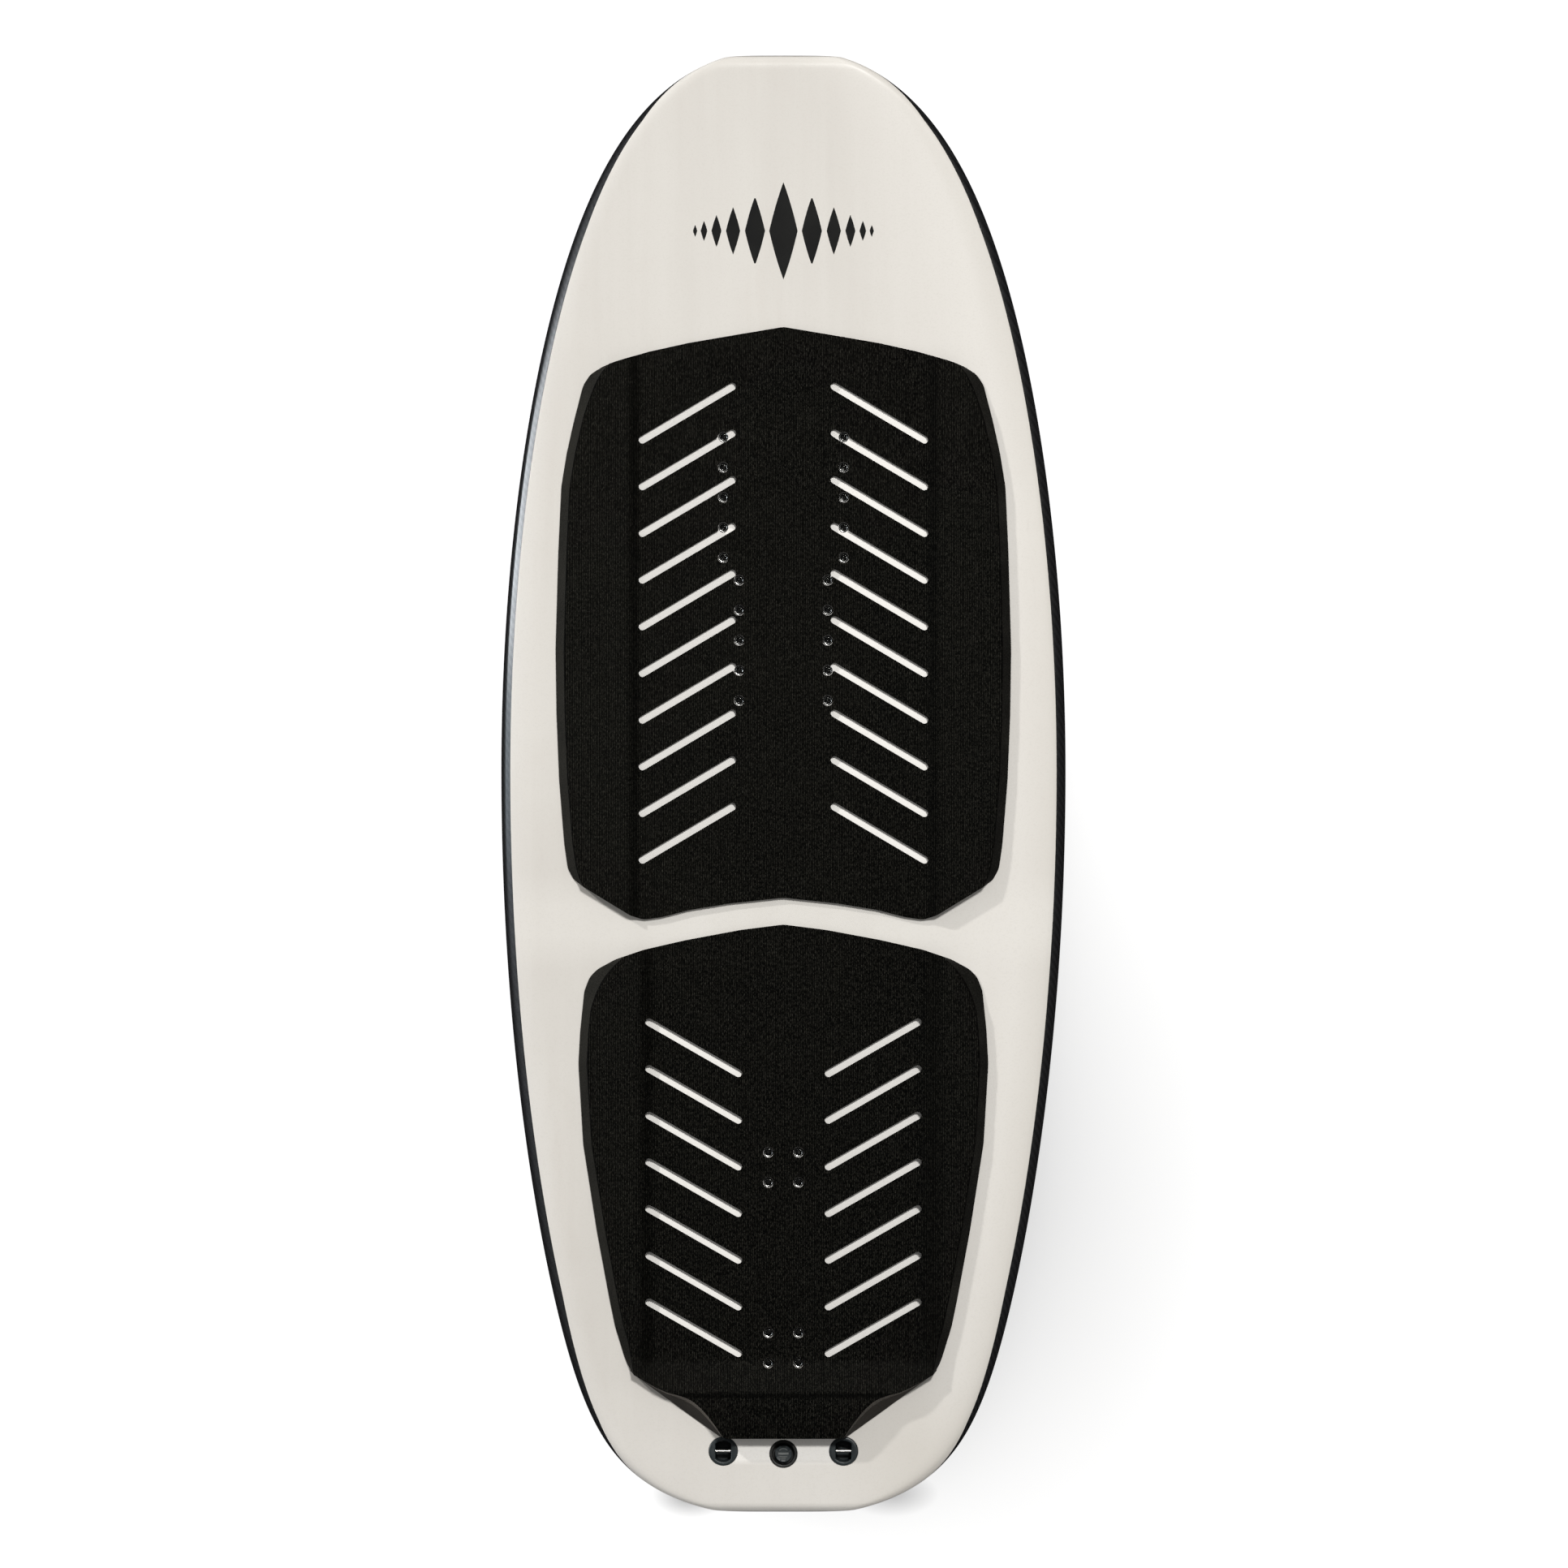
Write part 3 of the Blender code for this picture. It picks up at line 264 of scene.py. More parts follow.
def bottom_height(y):
    if y > NOSE_ROCKER_FROM:
        along = (y - NOSE_ROCKER_FROM) / (HALF_LENGTH - NOSE_ROCKER_FROM)
        return NOSE_ROCKER * along**NOSE_ROCKER_POWER
    if y < TAIL_ROCKER_FROM:
        along = (TAIL_ROCKER_FROM - y) / (HALF_LENGTH + TAIL_ROCKER_FROM)
        return TAIL_ROCKER * along**TAIL_ROCKER_POWER
    return 0.0


def end_factor(y):
    """Flattens the sections towards the nose and the tail."""
    reach = NOSE_ROUND if y > 0 else TAIL_ROUND
    past = max(0.0, (abs(y) - (HALF_LENGTH - reach)) / reach)
    return max(END_LEAST, max(0.0, 1.0 - past**END_POWER) ** (1.0 / END_POWER))


def upper_roll(y):
    return min(UPPER_ROLL, UPPER_ROLL_SHARE * half_width(y))


def seam_angle(y):
    run = max(upper_roll(y), 0.01)
    inward = min(np.interp(y, *SEAM_BAND.T), SEAM_MOST_SHARE * run)
    angle = math.degrees(math.acos(((run - inward) / run) ** (UPPER_POWER / 2)))
    return max(SEAM_LEAST_ANGLE, angle)


def hull_point(y, angle, inset):
    """Starboard point of a section: -90 is the flat bottom, 0 the rail, 90 the deck."""
    half, top, low = half_width(y), deck_height(y), bottom_height(y)
    rail = low + RAIL_LEVEL * (top - low)
    if angle >= 0:
        run, rise, power, side = upper_roll(y), top - rail, UPPER_POWER, 1.0
    else:
        run, rise = min(LOWER_ROLL, LOWER_ROLL_SHARE * half), rail - low
        power, side = LOWER_POWER, -1.0
    outward = max(0.0, math.cos(math.radians(angle))) ** (2.0 / power)
    upward = math.sin(math.radians(abs(angle))) ** (2.0 / power)
    x = half - run + max(0.0, run - inset) * outward
    z = rail + side * end_factor(y) * (rise - inset) * upward
    return (x, y * (HALF_LENGTH - inset) / HALF_LENGTH, z)


def stations():
    """Fine stations, close together at the nose and the tail."""
    places = [
        (HALF_LENGTH - STATION_END) * math.sin(math.radians(k * STATION_TURN))
        for k in range(-STATION_COUNT, STATION_COUNT + 1)
    ]
    places += [side * (HALF_LENGTH - d) for side in (-1, 1) for d in END_STATIONS]
    return sorted(places)


def deck_angles(y):
    """Section angles from the seam to the middle of the deck."""
    seam = seam_angle(y)
    return [seam + (90.0 - seam) * k / ROLL_STEPS for k in range(ROLL_STEPS + 1)]


def bottom_angles(y):
    """Section angles from the seam to the flat bottom."""
    seam = seam_angle(y)
    side = [seam * k / SIDE_STEPS for k in range(SIDE_STEPS, -1, -1)]
    return side + [-90.0 + 90.0 * k / ROLL_STEPS for k in range(ROLL_STEPS - 1, -1, -1)]


def skin_solid(angles_of, flip_outer):
    """Closed lid or tray of the hull: outer surface, inner surface and the rim at the seam."""
    places = stations()
    points, faces = [], []

    def surface(inset, flip):
        grid = []
        for station in places:
            run = [hull_point(station, angle, inset) for angle in angles_of(station)]
            seam, toward = Vector(run[0]), Vector(run[1])
            if (toward - seam).length > 1e-6:
                run[0] = tuple(seam + (toward - seam).normalized() * (SEAM_GAP / 2))
            # port to starboard across the centre line
            edge, y, z = run[-1]
            steps = range(1, FLAT_COLUMNS)
            flat = [(edge * (2.0 * k / FLAT_COLUMNS - 1.0), y, z) for k in steps]
            row = [(-x, y, z) for x, y, z in run] + flat + run[::-1]
            grid.append(list(range(len(points), len(points) + len(row))))
            points.extend(row)
        for here, ahead in zip(grid, grid[1:]):
            for k in range(len(here) - 1):
                face = (here[k], here[k + 1], ahead[k + 1], ahead[k])
                faces.append(face[::-1] if flip else face)
        return grid

    outer = surface(0.0, flip_outer)
    inner = surface(SKIN, not flip_outer)
    for k in (0, -1):
        for i in range(len(places) - 1):
            faces.append((outer[i][k], outer[i + 1][k], inner[i + 1][k], inner[i][k]))
    # each end is a wall from rail to rail
    turn = (len(outer[0]) - FLAT_COLUMNS + 1) // 2 - 2
    for i in (0, -1):
        for wall in (outer[i], inner[i]):
            for k in range(turn):
                faces.append((wall[k], wall[k + 1], wall[-k - 2], wall[-k - 1]))
            faces.append(tuple(wall[turn : len(wall) - turn]))
        faces.append((outer[i][0], outer[i][-1], inner[i][-1], inner[i][0]))
    return points, faces


def insert_places():
    """Node name, x and y of every strap insert."""
    for row, x, y, count in INSERT_ROWS:
        for k in range(count):
            yield f"strap_insert_{row}_{k + 1}", x, y - k * PITCH


def build_deck(mats):
    deck = make_object("deck_skin", *skin_solid(deck_angles, False), [mats["deck"]], fix=True)
    holes = [
        upright(circle(x, y, INSERT_R + INSERT_CLEARANCE, 40), 50.0, 60.0, 80.0, 100.0)
        for _, x, y in insert_places()
    ]
    flanges = (
        (LEASH_X, LEASH_Y, CUP_FLANGE_R), (-LEASH_X, LEASH_Y, CUP_FLANGE_R),
        (0.0, VENT_Y, VENT_FLANGE_R),
    )
    for x, y, radius in flanges:
        ring = circle(x, y, radius + FLANGE_CLEARANCE, 72)
        wide = circle(x, y, radius + FLANGE_FLARE, 72)
        holes.append(upright(ring, 50.0, DECK_Z - 0.35) + upright(wide, DECK_Z + 0.05, 100.0))
    cut(deck, [prisms("deck_holes", holes)], sharp=30)
    # how far across the deck each point sits: -1 at the port rail, 1 at the starboard rail
    across = deck.data.attributes.new("across", "FLOAT", "POINT")
    for vertex, value in zip(deck.data.vertices, across.data):
        value.value = vertex.co.x / (half_width(vertex.co.y / MM) * MM)
    register(deck, "board", "deck_shell")


def build_bottom(mats):
    hull = make_object("hull_skin", *skin_solid(bottom_angles, True), [mats["carbon"]], fix=True)
    width, length, _ = TRACK_SIZE
    pockets = [
        upright(rounded_box(side * TRACK_X, TRACK_Y, width / 2, length / 2, TRACK_CORNER,
                            grow=POCKET_CLEARANCE), -5.0, 26.0)
        for side in (1, -1)
    ]
    cut(hull, [prisms("track_pockets", pockets)], sharp=30)
    register(hull, "board", "bottom_shell")


# ================================================================== pads
PAD_THICK, WING_HEIGHT = 5.0, 12.0
FRONT_FOLD, REAR_FOLD = (119.0, 132.0), (108.0, 122.5)
EDGE_LIP, PAD_GAP = 1.5, 0.3
RIB_PITCH, GROOVE_DEPTH = 1.5, 0.75
# across one rib: offset from its middle, share of the groove depth
RIB_SECTION = ((-0.44, 0.0), (0.44, 0.0), (0.58, 1.0), (0.92, 1.0))
BAND_WIDTH = 7.9  # the smooth bevelled side of the wings, in plan
BEVEL_STEPS = (0.13, 0.5, 1.0)  # rows down the bevel
OUTLINE_STEP, OUTLINE_SPREAD = 0.5, 2.0
# y, height of the kick above the deck
KICK_TABLE = np.array((
    (-562.0, 14.0), (-552.0, 17.0), (-540.0, 19.4), (-525.0, 20.0), (-511.4, 17.0),
    (-487.4, 5.0),
))
KICK_EASE, KICK_EASE_REACH = 1.4, 3.0
KICK_FROM, KICK_UNDER_FROM, SIDE_LAYER_FROM = -480.0, -484.0, -500.0
JOIN_SPREAD, JOIN_FILL = 1.2, 0.35  # the soft hollow where kick and wing meet
# starboard half of each pad's edge: x, y
FRONT_PAD_EDGE = (
    (0.0, 386.0), (45.0, 378.5), (80.0, 372.5), (114.0, 365.0), (141.0, 357.0),
    (152.0, 353.0), (163.0, 346.0), (169.0, 337.0), (177.0, 306.0), (183.0, 279.0),
    (187.5, 251.0), (190.0, 196.0), (192.3, 114.0), (191.5, 59.0), (189.3, 4.0),
    (185.0, -50.0), (182.0, -71.0), (177.0, -80.5), (168.0, -87.0), (129.0, -110.8),
    (118.0, -114.2), (103.0, -112.2), (79.0, -106.0), (45.0, -100.5), (0.0, -95.7),
)
REAR_PAD_EDGE = (
    (0.0, -118.3), (37.0, -123.0), (82.0, -131.4), (118.0, -139.6), (142.0, -147.8),
    (157.0, -156.0), (163.5, -162.5), (168.0, -174.0), (171.5, -208.0), (173.0, -236.0),
    (169.0, -303.5), (157.5, -377.0), (146.8, -434.6), (142.0, -458.0), (134.0, -484.0),
    (129.0, -496.3), (114.0, -507.2), (79.0, -532.5), (52.0, -551.9), (0.0, -551.9),
)
# inner end and outer end of the foremost starboard slot, slots on a side
SLOT_WIDTH, SLOT_PITCH, SLOT_STEPS = 6.4, -39.4, 12
FRONT_SLOT = ((43.1, 335.8), (119.0, 290.9), 10)
REAR_SLOT = ((38.1, -243.9), (113.4, -200.7), 7)
# Where the smooth bevel starts, is full, starts to end and has ended on the starboard
# outline, and the point that draws each end of its top edge into a curve.
FRONT_BEVEL = {
    "at": ((147.0, 355.0), (175.5, 312.0), (183.6, -60.0), (169.2, -86.4)),
    "bend": ((156.5, 345.5), (173.4, -76.5)),
}
REAR_BEVEL = {
    "at": ((134.5, -144.9), (169.6, -190.0), (138.3, -470.0), (126.5, -498.2)),
    "bend": ((154.0, -163.0), (127.0, -487.0)),
}
# crescent at each side of the kick: distance past the bevel's end, width
CRESCENT = np.array((
    (-1.0, 0.0), (0.0, 0.0), (10.0, 0.9), (22.0, 2.6), (32.0, 5.0), (40.0, 8.4), (48.0, 11.0),
    (54.0, 11.9), (62.0, 11.2), (70.0, 9.4), (78.0, 7.0), (85.0, 4.4), (90.0, 2.2), (95.0, 0.0),
))
CRESCENT_BLUR = 9
LEAST_SPAN, SPAN_JOIN, ROW_CLEARANCE = 0.02, 0.05, 0.12  # holes and rows of a sheet
RIM_CLEARANCE, RIM_SPACING = 0.35, 1.2


def fine_outline(half_edge):
    """Closed outline through the half outline and its mirror image, with softened corners."""
    loop = list(half_edge) + [(-x, y) for x, y in reversed(half_edge) if x != 0.0]
    points = []
    for start, end in zip(loop, loop[1:] + loop[:1]):
        start, end = np.array(start), np.array(end)
        count = max(1, int(round(np.linalg.norm(end - start) / OUTLINE_STEP)))
        points += [start + (end - start) * k / count for k in range(count)]
    points = np.array(points)
    reach = int(3 * OUTLINE_SPREAD / OUTLINE_STEP)
    shifts = np.arange(-reach, reach + 1)
    weights = np.exp(-0.5 * (shifts * OUTLINE_STEP / OUTLINE_SPREAD) ** 2)
    weights /= weights.sum()
    soft = np.zeros_like(points)
    for shift, weight in zip(shifts, weights):
        soft += weight * np.roll(points, shift, axis=0)
    return soft


def inward_normals(outline):
    tangent = np.roll(outline, -1, axis=0) - np.roll(outline, 1, axis=0)
    tangent /= np.linalg.norm(tangent, axis=1)[:, None]
    return np.stack([tangent[:, 1], -tangent[:, 0]], axis=1)


def nearest(points, targets):
    """For each point, the number of the closest target."""
    return np.array([((targets - point) ** 2).sum(1).argmin() for point in points])


def bevel_offsets(outer, plan, crescents):
    """Vector from each outline point to the top edge of the bevelled side."""
    starboard = np.where(outer[:, 0] > 0.0)[0]
    run, normals = outer[starboard], inward_normals(outer)[starboard]
    steps = np.linalg.norm(np.diff(run, axis=0), axis=1)
    length = np.concatenate([[0.0], np.cumsum(steps)])
    marks = nearest(np.array(plan["at"]), run)
    inner = run.copy()
    full = slice(marks[1], marks[2] + 1)
    inner[full] += BAND_WIDTH * normals[full]
    for first, last, bend in zip(marks[::2], marks[1::2], plan["bend"]):
        start, end = inner[first].copy(), inner[last].copy()
        for k in range(first + 1, last):
            t = (length[k] - length[first]) / (length[last] - length[first])
            inner[k] = start * (1 - t) ** 2 + np.array(bend) * 2 * t * (1 - t) + end * t**2
    offset = inner - run
    if crescents:
        along = length - length[marks[3]]
        width = np.pad(np.interp(along, *CRESCENT.T), CRESCENT_BLUR // 2, mode="edge")
        width = np.convolve(width, np.ones(CRESCENT_BLUR) / CRESCENT_BLUR, "valid")
        offset += normals * (width * (along > 0.0))[:, None]
    every = np.zeros_like(outer)
    every[starboard] = offset
    mirror = np.array((-1.0, 1.0))
    port = np.where(outer[:, 0] <= 0.0)[0]
    every[port] = offset[nearest(outer[port] * mirror, run)] * mirror
    return every


def slot_outlines(slot):
    (x_in, y_in), (x_out, y_out), count = slot
    shapes = []
    for side in (1.0, -1.0):
        for k in range(count):
            inner = np.array((side * x_in, y_in + k * SLOT_PITCH))
            outer = np.array((side * x_out, y_out + k * SLOT_PITCH))
            along = math.atan2(outer[1] - inner[1], outer[0] - inner[0])
            outline = []
            for centre, start in ((outer, along - math.pi / 2), (inner, along + math.pi / 2)):
                for step in range(SLOT_STEPS + 1):
                    angle = start + math.pi * step / SLOT_STEPS
                    ray = np.array((math.cos(angle), math.sin(angle)))
                    outline.append(centre + SLOT_WIDTH / 2 * ray)
            shapes.append(np.array(outline))
    return shapes


def crossings(polygon, x):
    """Every y at which a polygon crosses a column."""
    start, end = polygon, np.roll(polygon, -1, axis=0)
    hit = (start[:, 0] <= x) != (end[:, 0] <= x)
    start, end = start[hit], end[hit]
    share = (x - start[:, 0]) / (end[:, 0] - start[:, 0])
    return np.sort(start[:, 1] + share * (end[:, 1] - start[:, 1]))


def edges(face):
    return zip(face, face[1:] + face[:1])


class Sheet:
    """A region cut into strips along Y between columns: points, upward faces and rim flags."""

    def __init__(self, columns, rows, outline, holes=()):
        self.xy, self.faces, self.on_rim = [], [], []
        rows = np.sort(rows)
        last = len(columns) - 1
        table = [
            self.add_column(x, rows, outline, holes, number in (0, last))
            for number, x in enumerate(columns)
        ]
        for left, right in zip(table, table[1:]):
            self.add_strip(left, right)
        # x, lowest point and highest point of each column
        self.columns = [(x, column[3][0][1], column[3][-1][1])
                        for x, column in zip(columns, table)]

    def add_point(self, x, y, on_rim):
        self.xy.append((x, y))
        self.on_rim.append(on_rim)
        return len(self.xy) - 1

    def add_column(self, x, rows, outline, holes, at_side):
        """Gives a column's low end, high end, hole spans and (y, point number) pairs."""
        ends = crossings(outline, x)
        low, high = ends[0], ends[-1]
        spans = []
        for hole in holes:
            if hole[:, 0].min() < x < hole[:, 0].max():
                hits = crossings(hole, x)
                if len(hits) >= 2 and hits[-1] - hits[0] > LEAST_SPAN:
                    spans.append([hits[0], hits[-1]])
        merged = []
        for start, end in sorted(spans):
            if merged and start <= merged[-1][1] + SPAN_JOIN:
                merged[-1][1] = max(merged[-1][1], end)
            else:
                merged.append([start, end])
        fixed = [low, high] + [y for span in merged for y in span]
        inside = [
            y for y in rows
            if low < y < high
            and not any(start <= y <= end for start, end in merged)
            and min(abs(y - other) for other in fixed) > ROW_CLEARANCE
        ]
        points = [
            (y, self.add_point(x, y, at_side or y in (low, high)))
            for y in sorted(fixed + inside)
        ]
        return low, high, merged, points

    def add_strip(self, left, right):
        """Fills between two columns, leaving out the holes they share."""
        groups = []
        for start, end in left[2]:
            partners = [span for span in right[2] if span[0] < end and span[1] > start]
            if not partners:
                continue
            if groups and any(span in groups[-1][1] for span in partners):
                groups[-1][0].append((start, end))
                groups[-1][1] += [span for span in partners if span not in groups[-1][1]]
            else:
                groups.append([[(start, end)], partners])
        parts = []
        for which, (low, high, _, points) in enumerate((left, right)):
            breaks = [low]
            for group in groups:
                breaks.append(min(span[0] for span in group[which]))
                breaks.append(max(span[1] for span in group[which]))
            breaks.append(high)
            parts.append([[point for point in points if start <= point[0] <= end]
                          for start, end in zip(breaks[::2], breaks[1::2])])
        for port, starboard in zip(*parts):
            self.zip_up(port, starboard)

    def zip_up(self, left, right):
        """Quads where both sides share their rows, triangles elsewhere."""
        i = j = 0
        while i < len(left) - 1 or j < len(right) - 1:
            more_left, more_right = i < len(left) - 1, j < len(right) - 1
            (left_y, left_id), (right_y, right_id) = left[i], right[j]
            left_next = left[i + 1] if more_left else None
            right_next = right[j + 1] if more_right else None
            if (more_left and more_right and left_next[0] == right_next[0]
                    and left_y == right_y):
                self.faces.append((left_id, right_id, right_next[1], left_next[1]))
                i, j = i + 1, j + 1
            elif not more_right or (more_left and left_next[0] <= right_next[0]):
                self.faces.append((left_id, right_id, left_next[1]))
                i += 1
            else:
                self.faces.append((left_id, right_id, right_next[1]))
                j += 1

    def refine_rim(self, inner, outer):
        """Puts the outline's own points on the rim between columns, so curves stay round."""
        left, right, count = int(inner[:, 0].argmin()), int(inner[:, 0].argmax()), len(inner)
        upper = [(left + k) % count for k in range((right - left) % count + 1)]
        lower = [(right + k) % count for k in range((left - right) % count + 1)][::-1]
        extra = {}
        for chain, end in ((upper, 2), (lower, 1)):
            at = 0
            for here, ahead in zip(self.columns, self.columns[1:]):
                while at < len(chain) and inner[chain[at], 0] <= here[0]:
                    at += 1
                corners = [np.array(self.xy[here[end]]), np.array(self.xy[ahead[end]])]
                ids, last, reach = [], None, here[0]
                while at < len(chain) and inner[chain[at], 0] < ahead[0]:
                    point, foot = inner[chain[at]], outer[chain[at]]
                    clear = min(np.linalg.norm(point - corner) for corner in corners)
                    if point[0] > reach and clear > RIM_CLEARANCE and (
                            last is None or np.linalg.norm(foot - last) >= RIM_SPACING):
                        ids.append(self.add_point(float(point[0]), float(point[1]), True))
                        last, reach = foot, point[0]
                    at += 1
                if end == 1:
                    extra[(here[1], ahead[1])] = ids
                else:
                    extra[(ahead[2], here[2])] = ids[::-1]
        self.faces = [
            tuple(i for edge in edges(face) for i in [edge[0]] + extra.get(edge, []))
            for face in self.faces
        ]

    def border(self):
        """Directed edges with the sheet on their left."""
        seen = dict.fromkeys(edge for face in self.faces for edge in edges(face))
        return [edge for edge in seen if edge[::-1] not in seen]

    def border_ids(self):
        return sorted({i for edge in self.border() for i in edge})


def closed_solid(name, sheet, top, rim_rows, under, mats, band_slot=lambda *edge: 0):
    """Turns a sheet into a solid: its top, rows of points down its edge, and its underside.

    The last rim row is on the underside. The underside takes the last material.
    """
    slot_of = {i: k for k, i in enumerate(sheet.border_ids())}
    starts = [len(top) + level * len(slot_of) for level in range(len(rim_rows))]
    inner_ids = [i for i in range(len(top)) if i not in slot_of]
    under_start = starts[-1] + len(slot_of)
    under_of = {i: under_start + k for k, i in enumerate(inner_ids)}
    under_of.update({i: starts[-1] + k for i, k in slot_of.items()})
    faces, slots = list(sheet.faces), [0] * len(sheet.faces)
    for a, b in sheet.border():
        upper_a, upper_b = a, b
        for level, start in enumerate(starts):
            lower_a, lower_b = start + slot_of[a], start + slot_of[b]
            faces.append((upper_b, upper_a, lower_a, lower_b))
            slots.append(band_slot(a, b, level))
            upper_a, upper_b = lower_a, lower_b
    faces += [tuple(under_of[i] for i in reversed(face)) for face in sheet.faces]
    slots += [len(mats) - 1] * len(sheet.faces)
    points = np.concatenate([top, *rim_rows, under[inner_ids]])
    return make_object(name, points, faces, mats, face_slots=slots, sharp=33.0)


def kick_height(y):
    """The ramp and the crown of the kick, with its creases eased."""
    total, weights = np.zeros_like(y), 0.0
    for shift in np.linspace(-KICK_EASE_REACH, KICK_EASE_REACH, 9):
        weight = math.exp(-0.5 * (shift / KICK_EASE) ** 2)
        total += weight * np.interp(y + shift, *KICK_TABLE.T, right=PAD_THICK)
        weights += weight
    return total / weights


def pad_height(x, y, fold, kicked):
    """Height of the pad's crowns above the deck."""
    t = np.clip((np.abs(x) - fold[0]) / (fold[1] - fold[0]), 0.0, 1.0)
    wing = PAD_THICK + (WING_HEIGHT - PAD_THICK) * (t * t * (3.0 - 2.0 * t))
    if not kicked:
        return wing
    ramp = np.where(y < KICK_FROM, kick_height(y), PAD_THICK)
    fill = JOIN_SPREAD * np.exp(-np.abs(wing - ramp) / JOIN_SPREAD) * JOIN_FILL
    return np.maximum(wing, ramp) + fill * (y < KICK_FROM)


def pad_under(y, kicked):
    """Height of the pad's underside above the deck."""
    if not kicked:
        return np.full_like(y, PAD_GAP)
    return PAD_GAP + np.maximum(0.0, kick_height(y) - PAD_THICK) * (y < KICK_UNDER_FROM)


def rib_columns(half):
    """Four columns to a rib: both edges of its crown and both sides of the groove floor."""
    count = int(half / RIB_PITCH) + 2
    ribs = [
        (k * RIB_PITCH + offset, depth)
        for k in range(-count, count + 1) for offset, depth in RIB_SECTION
    ]
    ribs = [(x, depth) for x, depth in ribs if abs(x) < half - 0.06]
    return np.array([(-half + 0.02, 0.0)] + ribs + [(half - 0.02, 0.0)]).T


def pad_rim(points, offset, height, groove, at_hole, kicked):
    """Top edge of a pad and the rows of points down from it, on bevels and in holes."""
    foot = points - offset
    lower = pad_under(points[:, 1], kicked)
    # the groove floor runs out to where the bevel cuts it
    wide = np.linalg.norm(offset, axis=1) > 0.05
    share = np.where(~at_hole & wide, groove / (height - EDGE_LIP).clip(0.5), 0.0)
    top = np.column_stack([
        points + (foot - points) * share[:, None],
        deck_height(points[:, 1]) + height - groove,
    ])
    on_slope = lower >= EDGE_LIP
    reach = np.clip((height - lower) / (height - EDGE_LIP), 0.0, 1.0)
    reach = np.where(on_slope, reach, 1.0)
    rows = []
    for step in BEVEL_STEPS:
        part = reach * step
        if step < 1.0:
            part = np.maximum(part, share + 0.02)
        plan = points + (foot - points) * part[:, None]
        z = deck_height(plan[:, 1]) + height + (EDGE_LIP - height) * part
        rows.append(np.column_stack([plan, z]))
    base = rows[-1].copy()
    base[:, 2] = np.where(on_slope, base[:, 2] - 0.02, deck_height(foot[:, 1]) + lower)
    rows.append(base)
    # the walls of holes go straight down
    floor = deck_height(points[:, 1]) + lower
    for number, row in enumerate(rows, 1):
        level = top[:, 2] + (floor - top[:, 2]) * number / len(rows)
        row[at_hole] = np.column_stack([points, level])[at_hole]
    return top, rows, wide


def build_pad(name, node, outer, offset, fold, kicked, slot, mats):
    inner = outer + offset
    columns, depth = rib_columns(inner[:, 0].max())
    low, high = inner[:, 1].min(), inner[:, 1].max()
    if kicked:
        rows = [np.arange(-484.0, low - 1.0, -1.5), np.arange(-120.0, -484.0, -18.0)]
    else:
        rows = [np.arange(-110.0, 230.0, 20.0), np.arange(230.0, high + 1.0, 7.0)]
    holes = slot_outlines(slot)
    holes += [np.array(circle(x, y, PAD_HOLE_R, 36)) for _, x, y in insert_places()]
    holes = [hole for hole in holes if low + 2 < hole[:, 1].mean() < high - 2]
    sheet = Sheet(columns, np.concatenate(rows), inner, holes)
    sheet.refine_rim(inner, outer)

    points = np.array(sheet.xy)
    x, y = points.T
    groove = np.interp(x, columns, depth) * GROOVE_DEPTH
    height = pad_height(x, y, fold, kicked)
    top = np.column_stack([points, deck_height(y) + height - groove])
    under = np.column_stack([points, deck_height(y) + pad_under(y, kicked)])
    rim, broad = np.array(sheet.on_rim), np.zeros(len(points), bool)
    ids = sheet.border_ids()
    near = nearest(points[ids], inner)
    top[ids], rim_rows, broad[ids] = pad_rim(
        points[ids], offset[near], height[ids], groove[ids], ~rim[ids], kicked)

    keys = ("eva", "eva_smooth", "eva_side", "eva_crease", "eva_cut")

    def band_slot(a, b, level):
        if not (rim[a] and rim[b]):
            key = "eva_cut"
        elif level == 0 and broad[a] and broad[b]:
            key = "eva_crease"
        elif kicked and y[a] < SIDE_LAYER_FROM and y[b] < SIDE_LAYER_FROM:
            key = "eva_side"
        else:
            key = "eva_smooth"
        return keys.index(key)

    pad = closed_solid(name, sheet, top, rim_rows, under, [mats[key] for key in keys], band_slot)
    register(pad, "board", node)


WEDGE_FRONT, WEDGE_SIDE_FROM, WEDGE_FRONT_EDGE, WEDGE_AFT = -494.0, -494.5, -494.2, -552.3
WEDGE_CENTRE_Y = -480.0  # the outline is put in order by angle about this point
WEDGE_LEAST = EDGE_LIP + 0.05


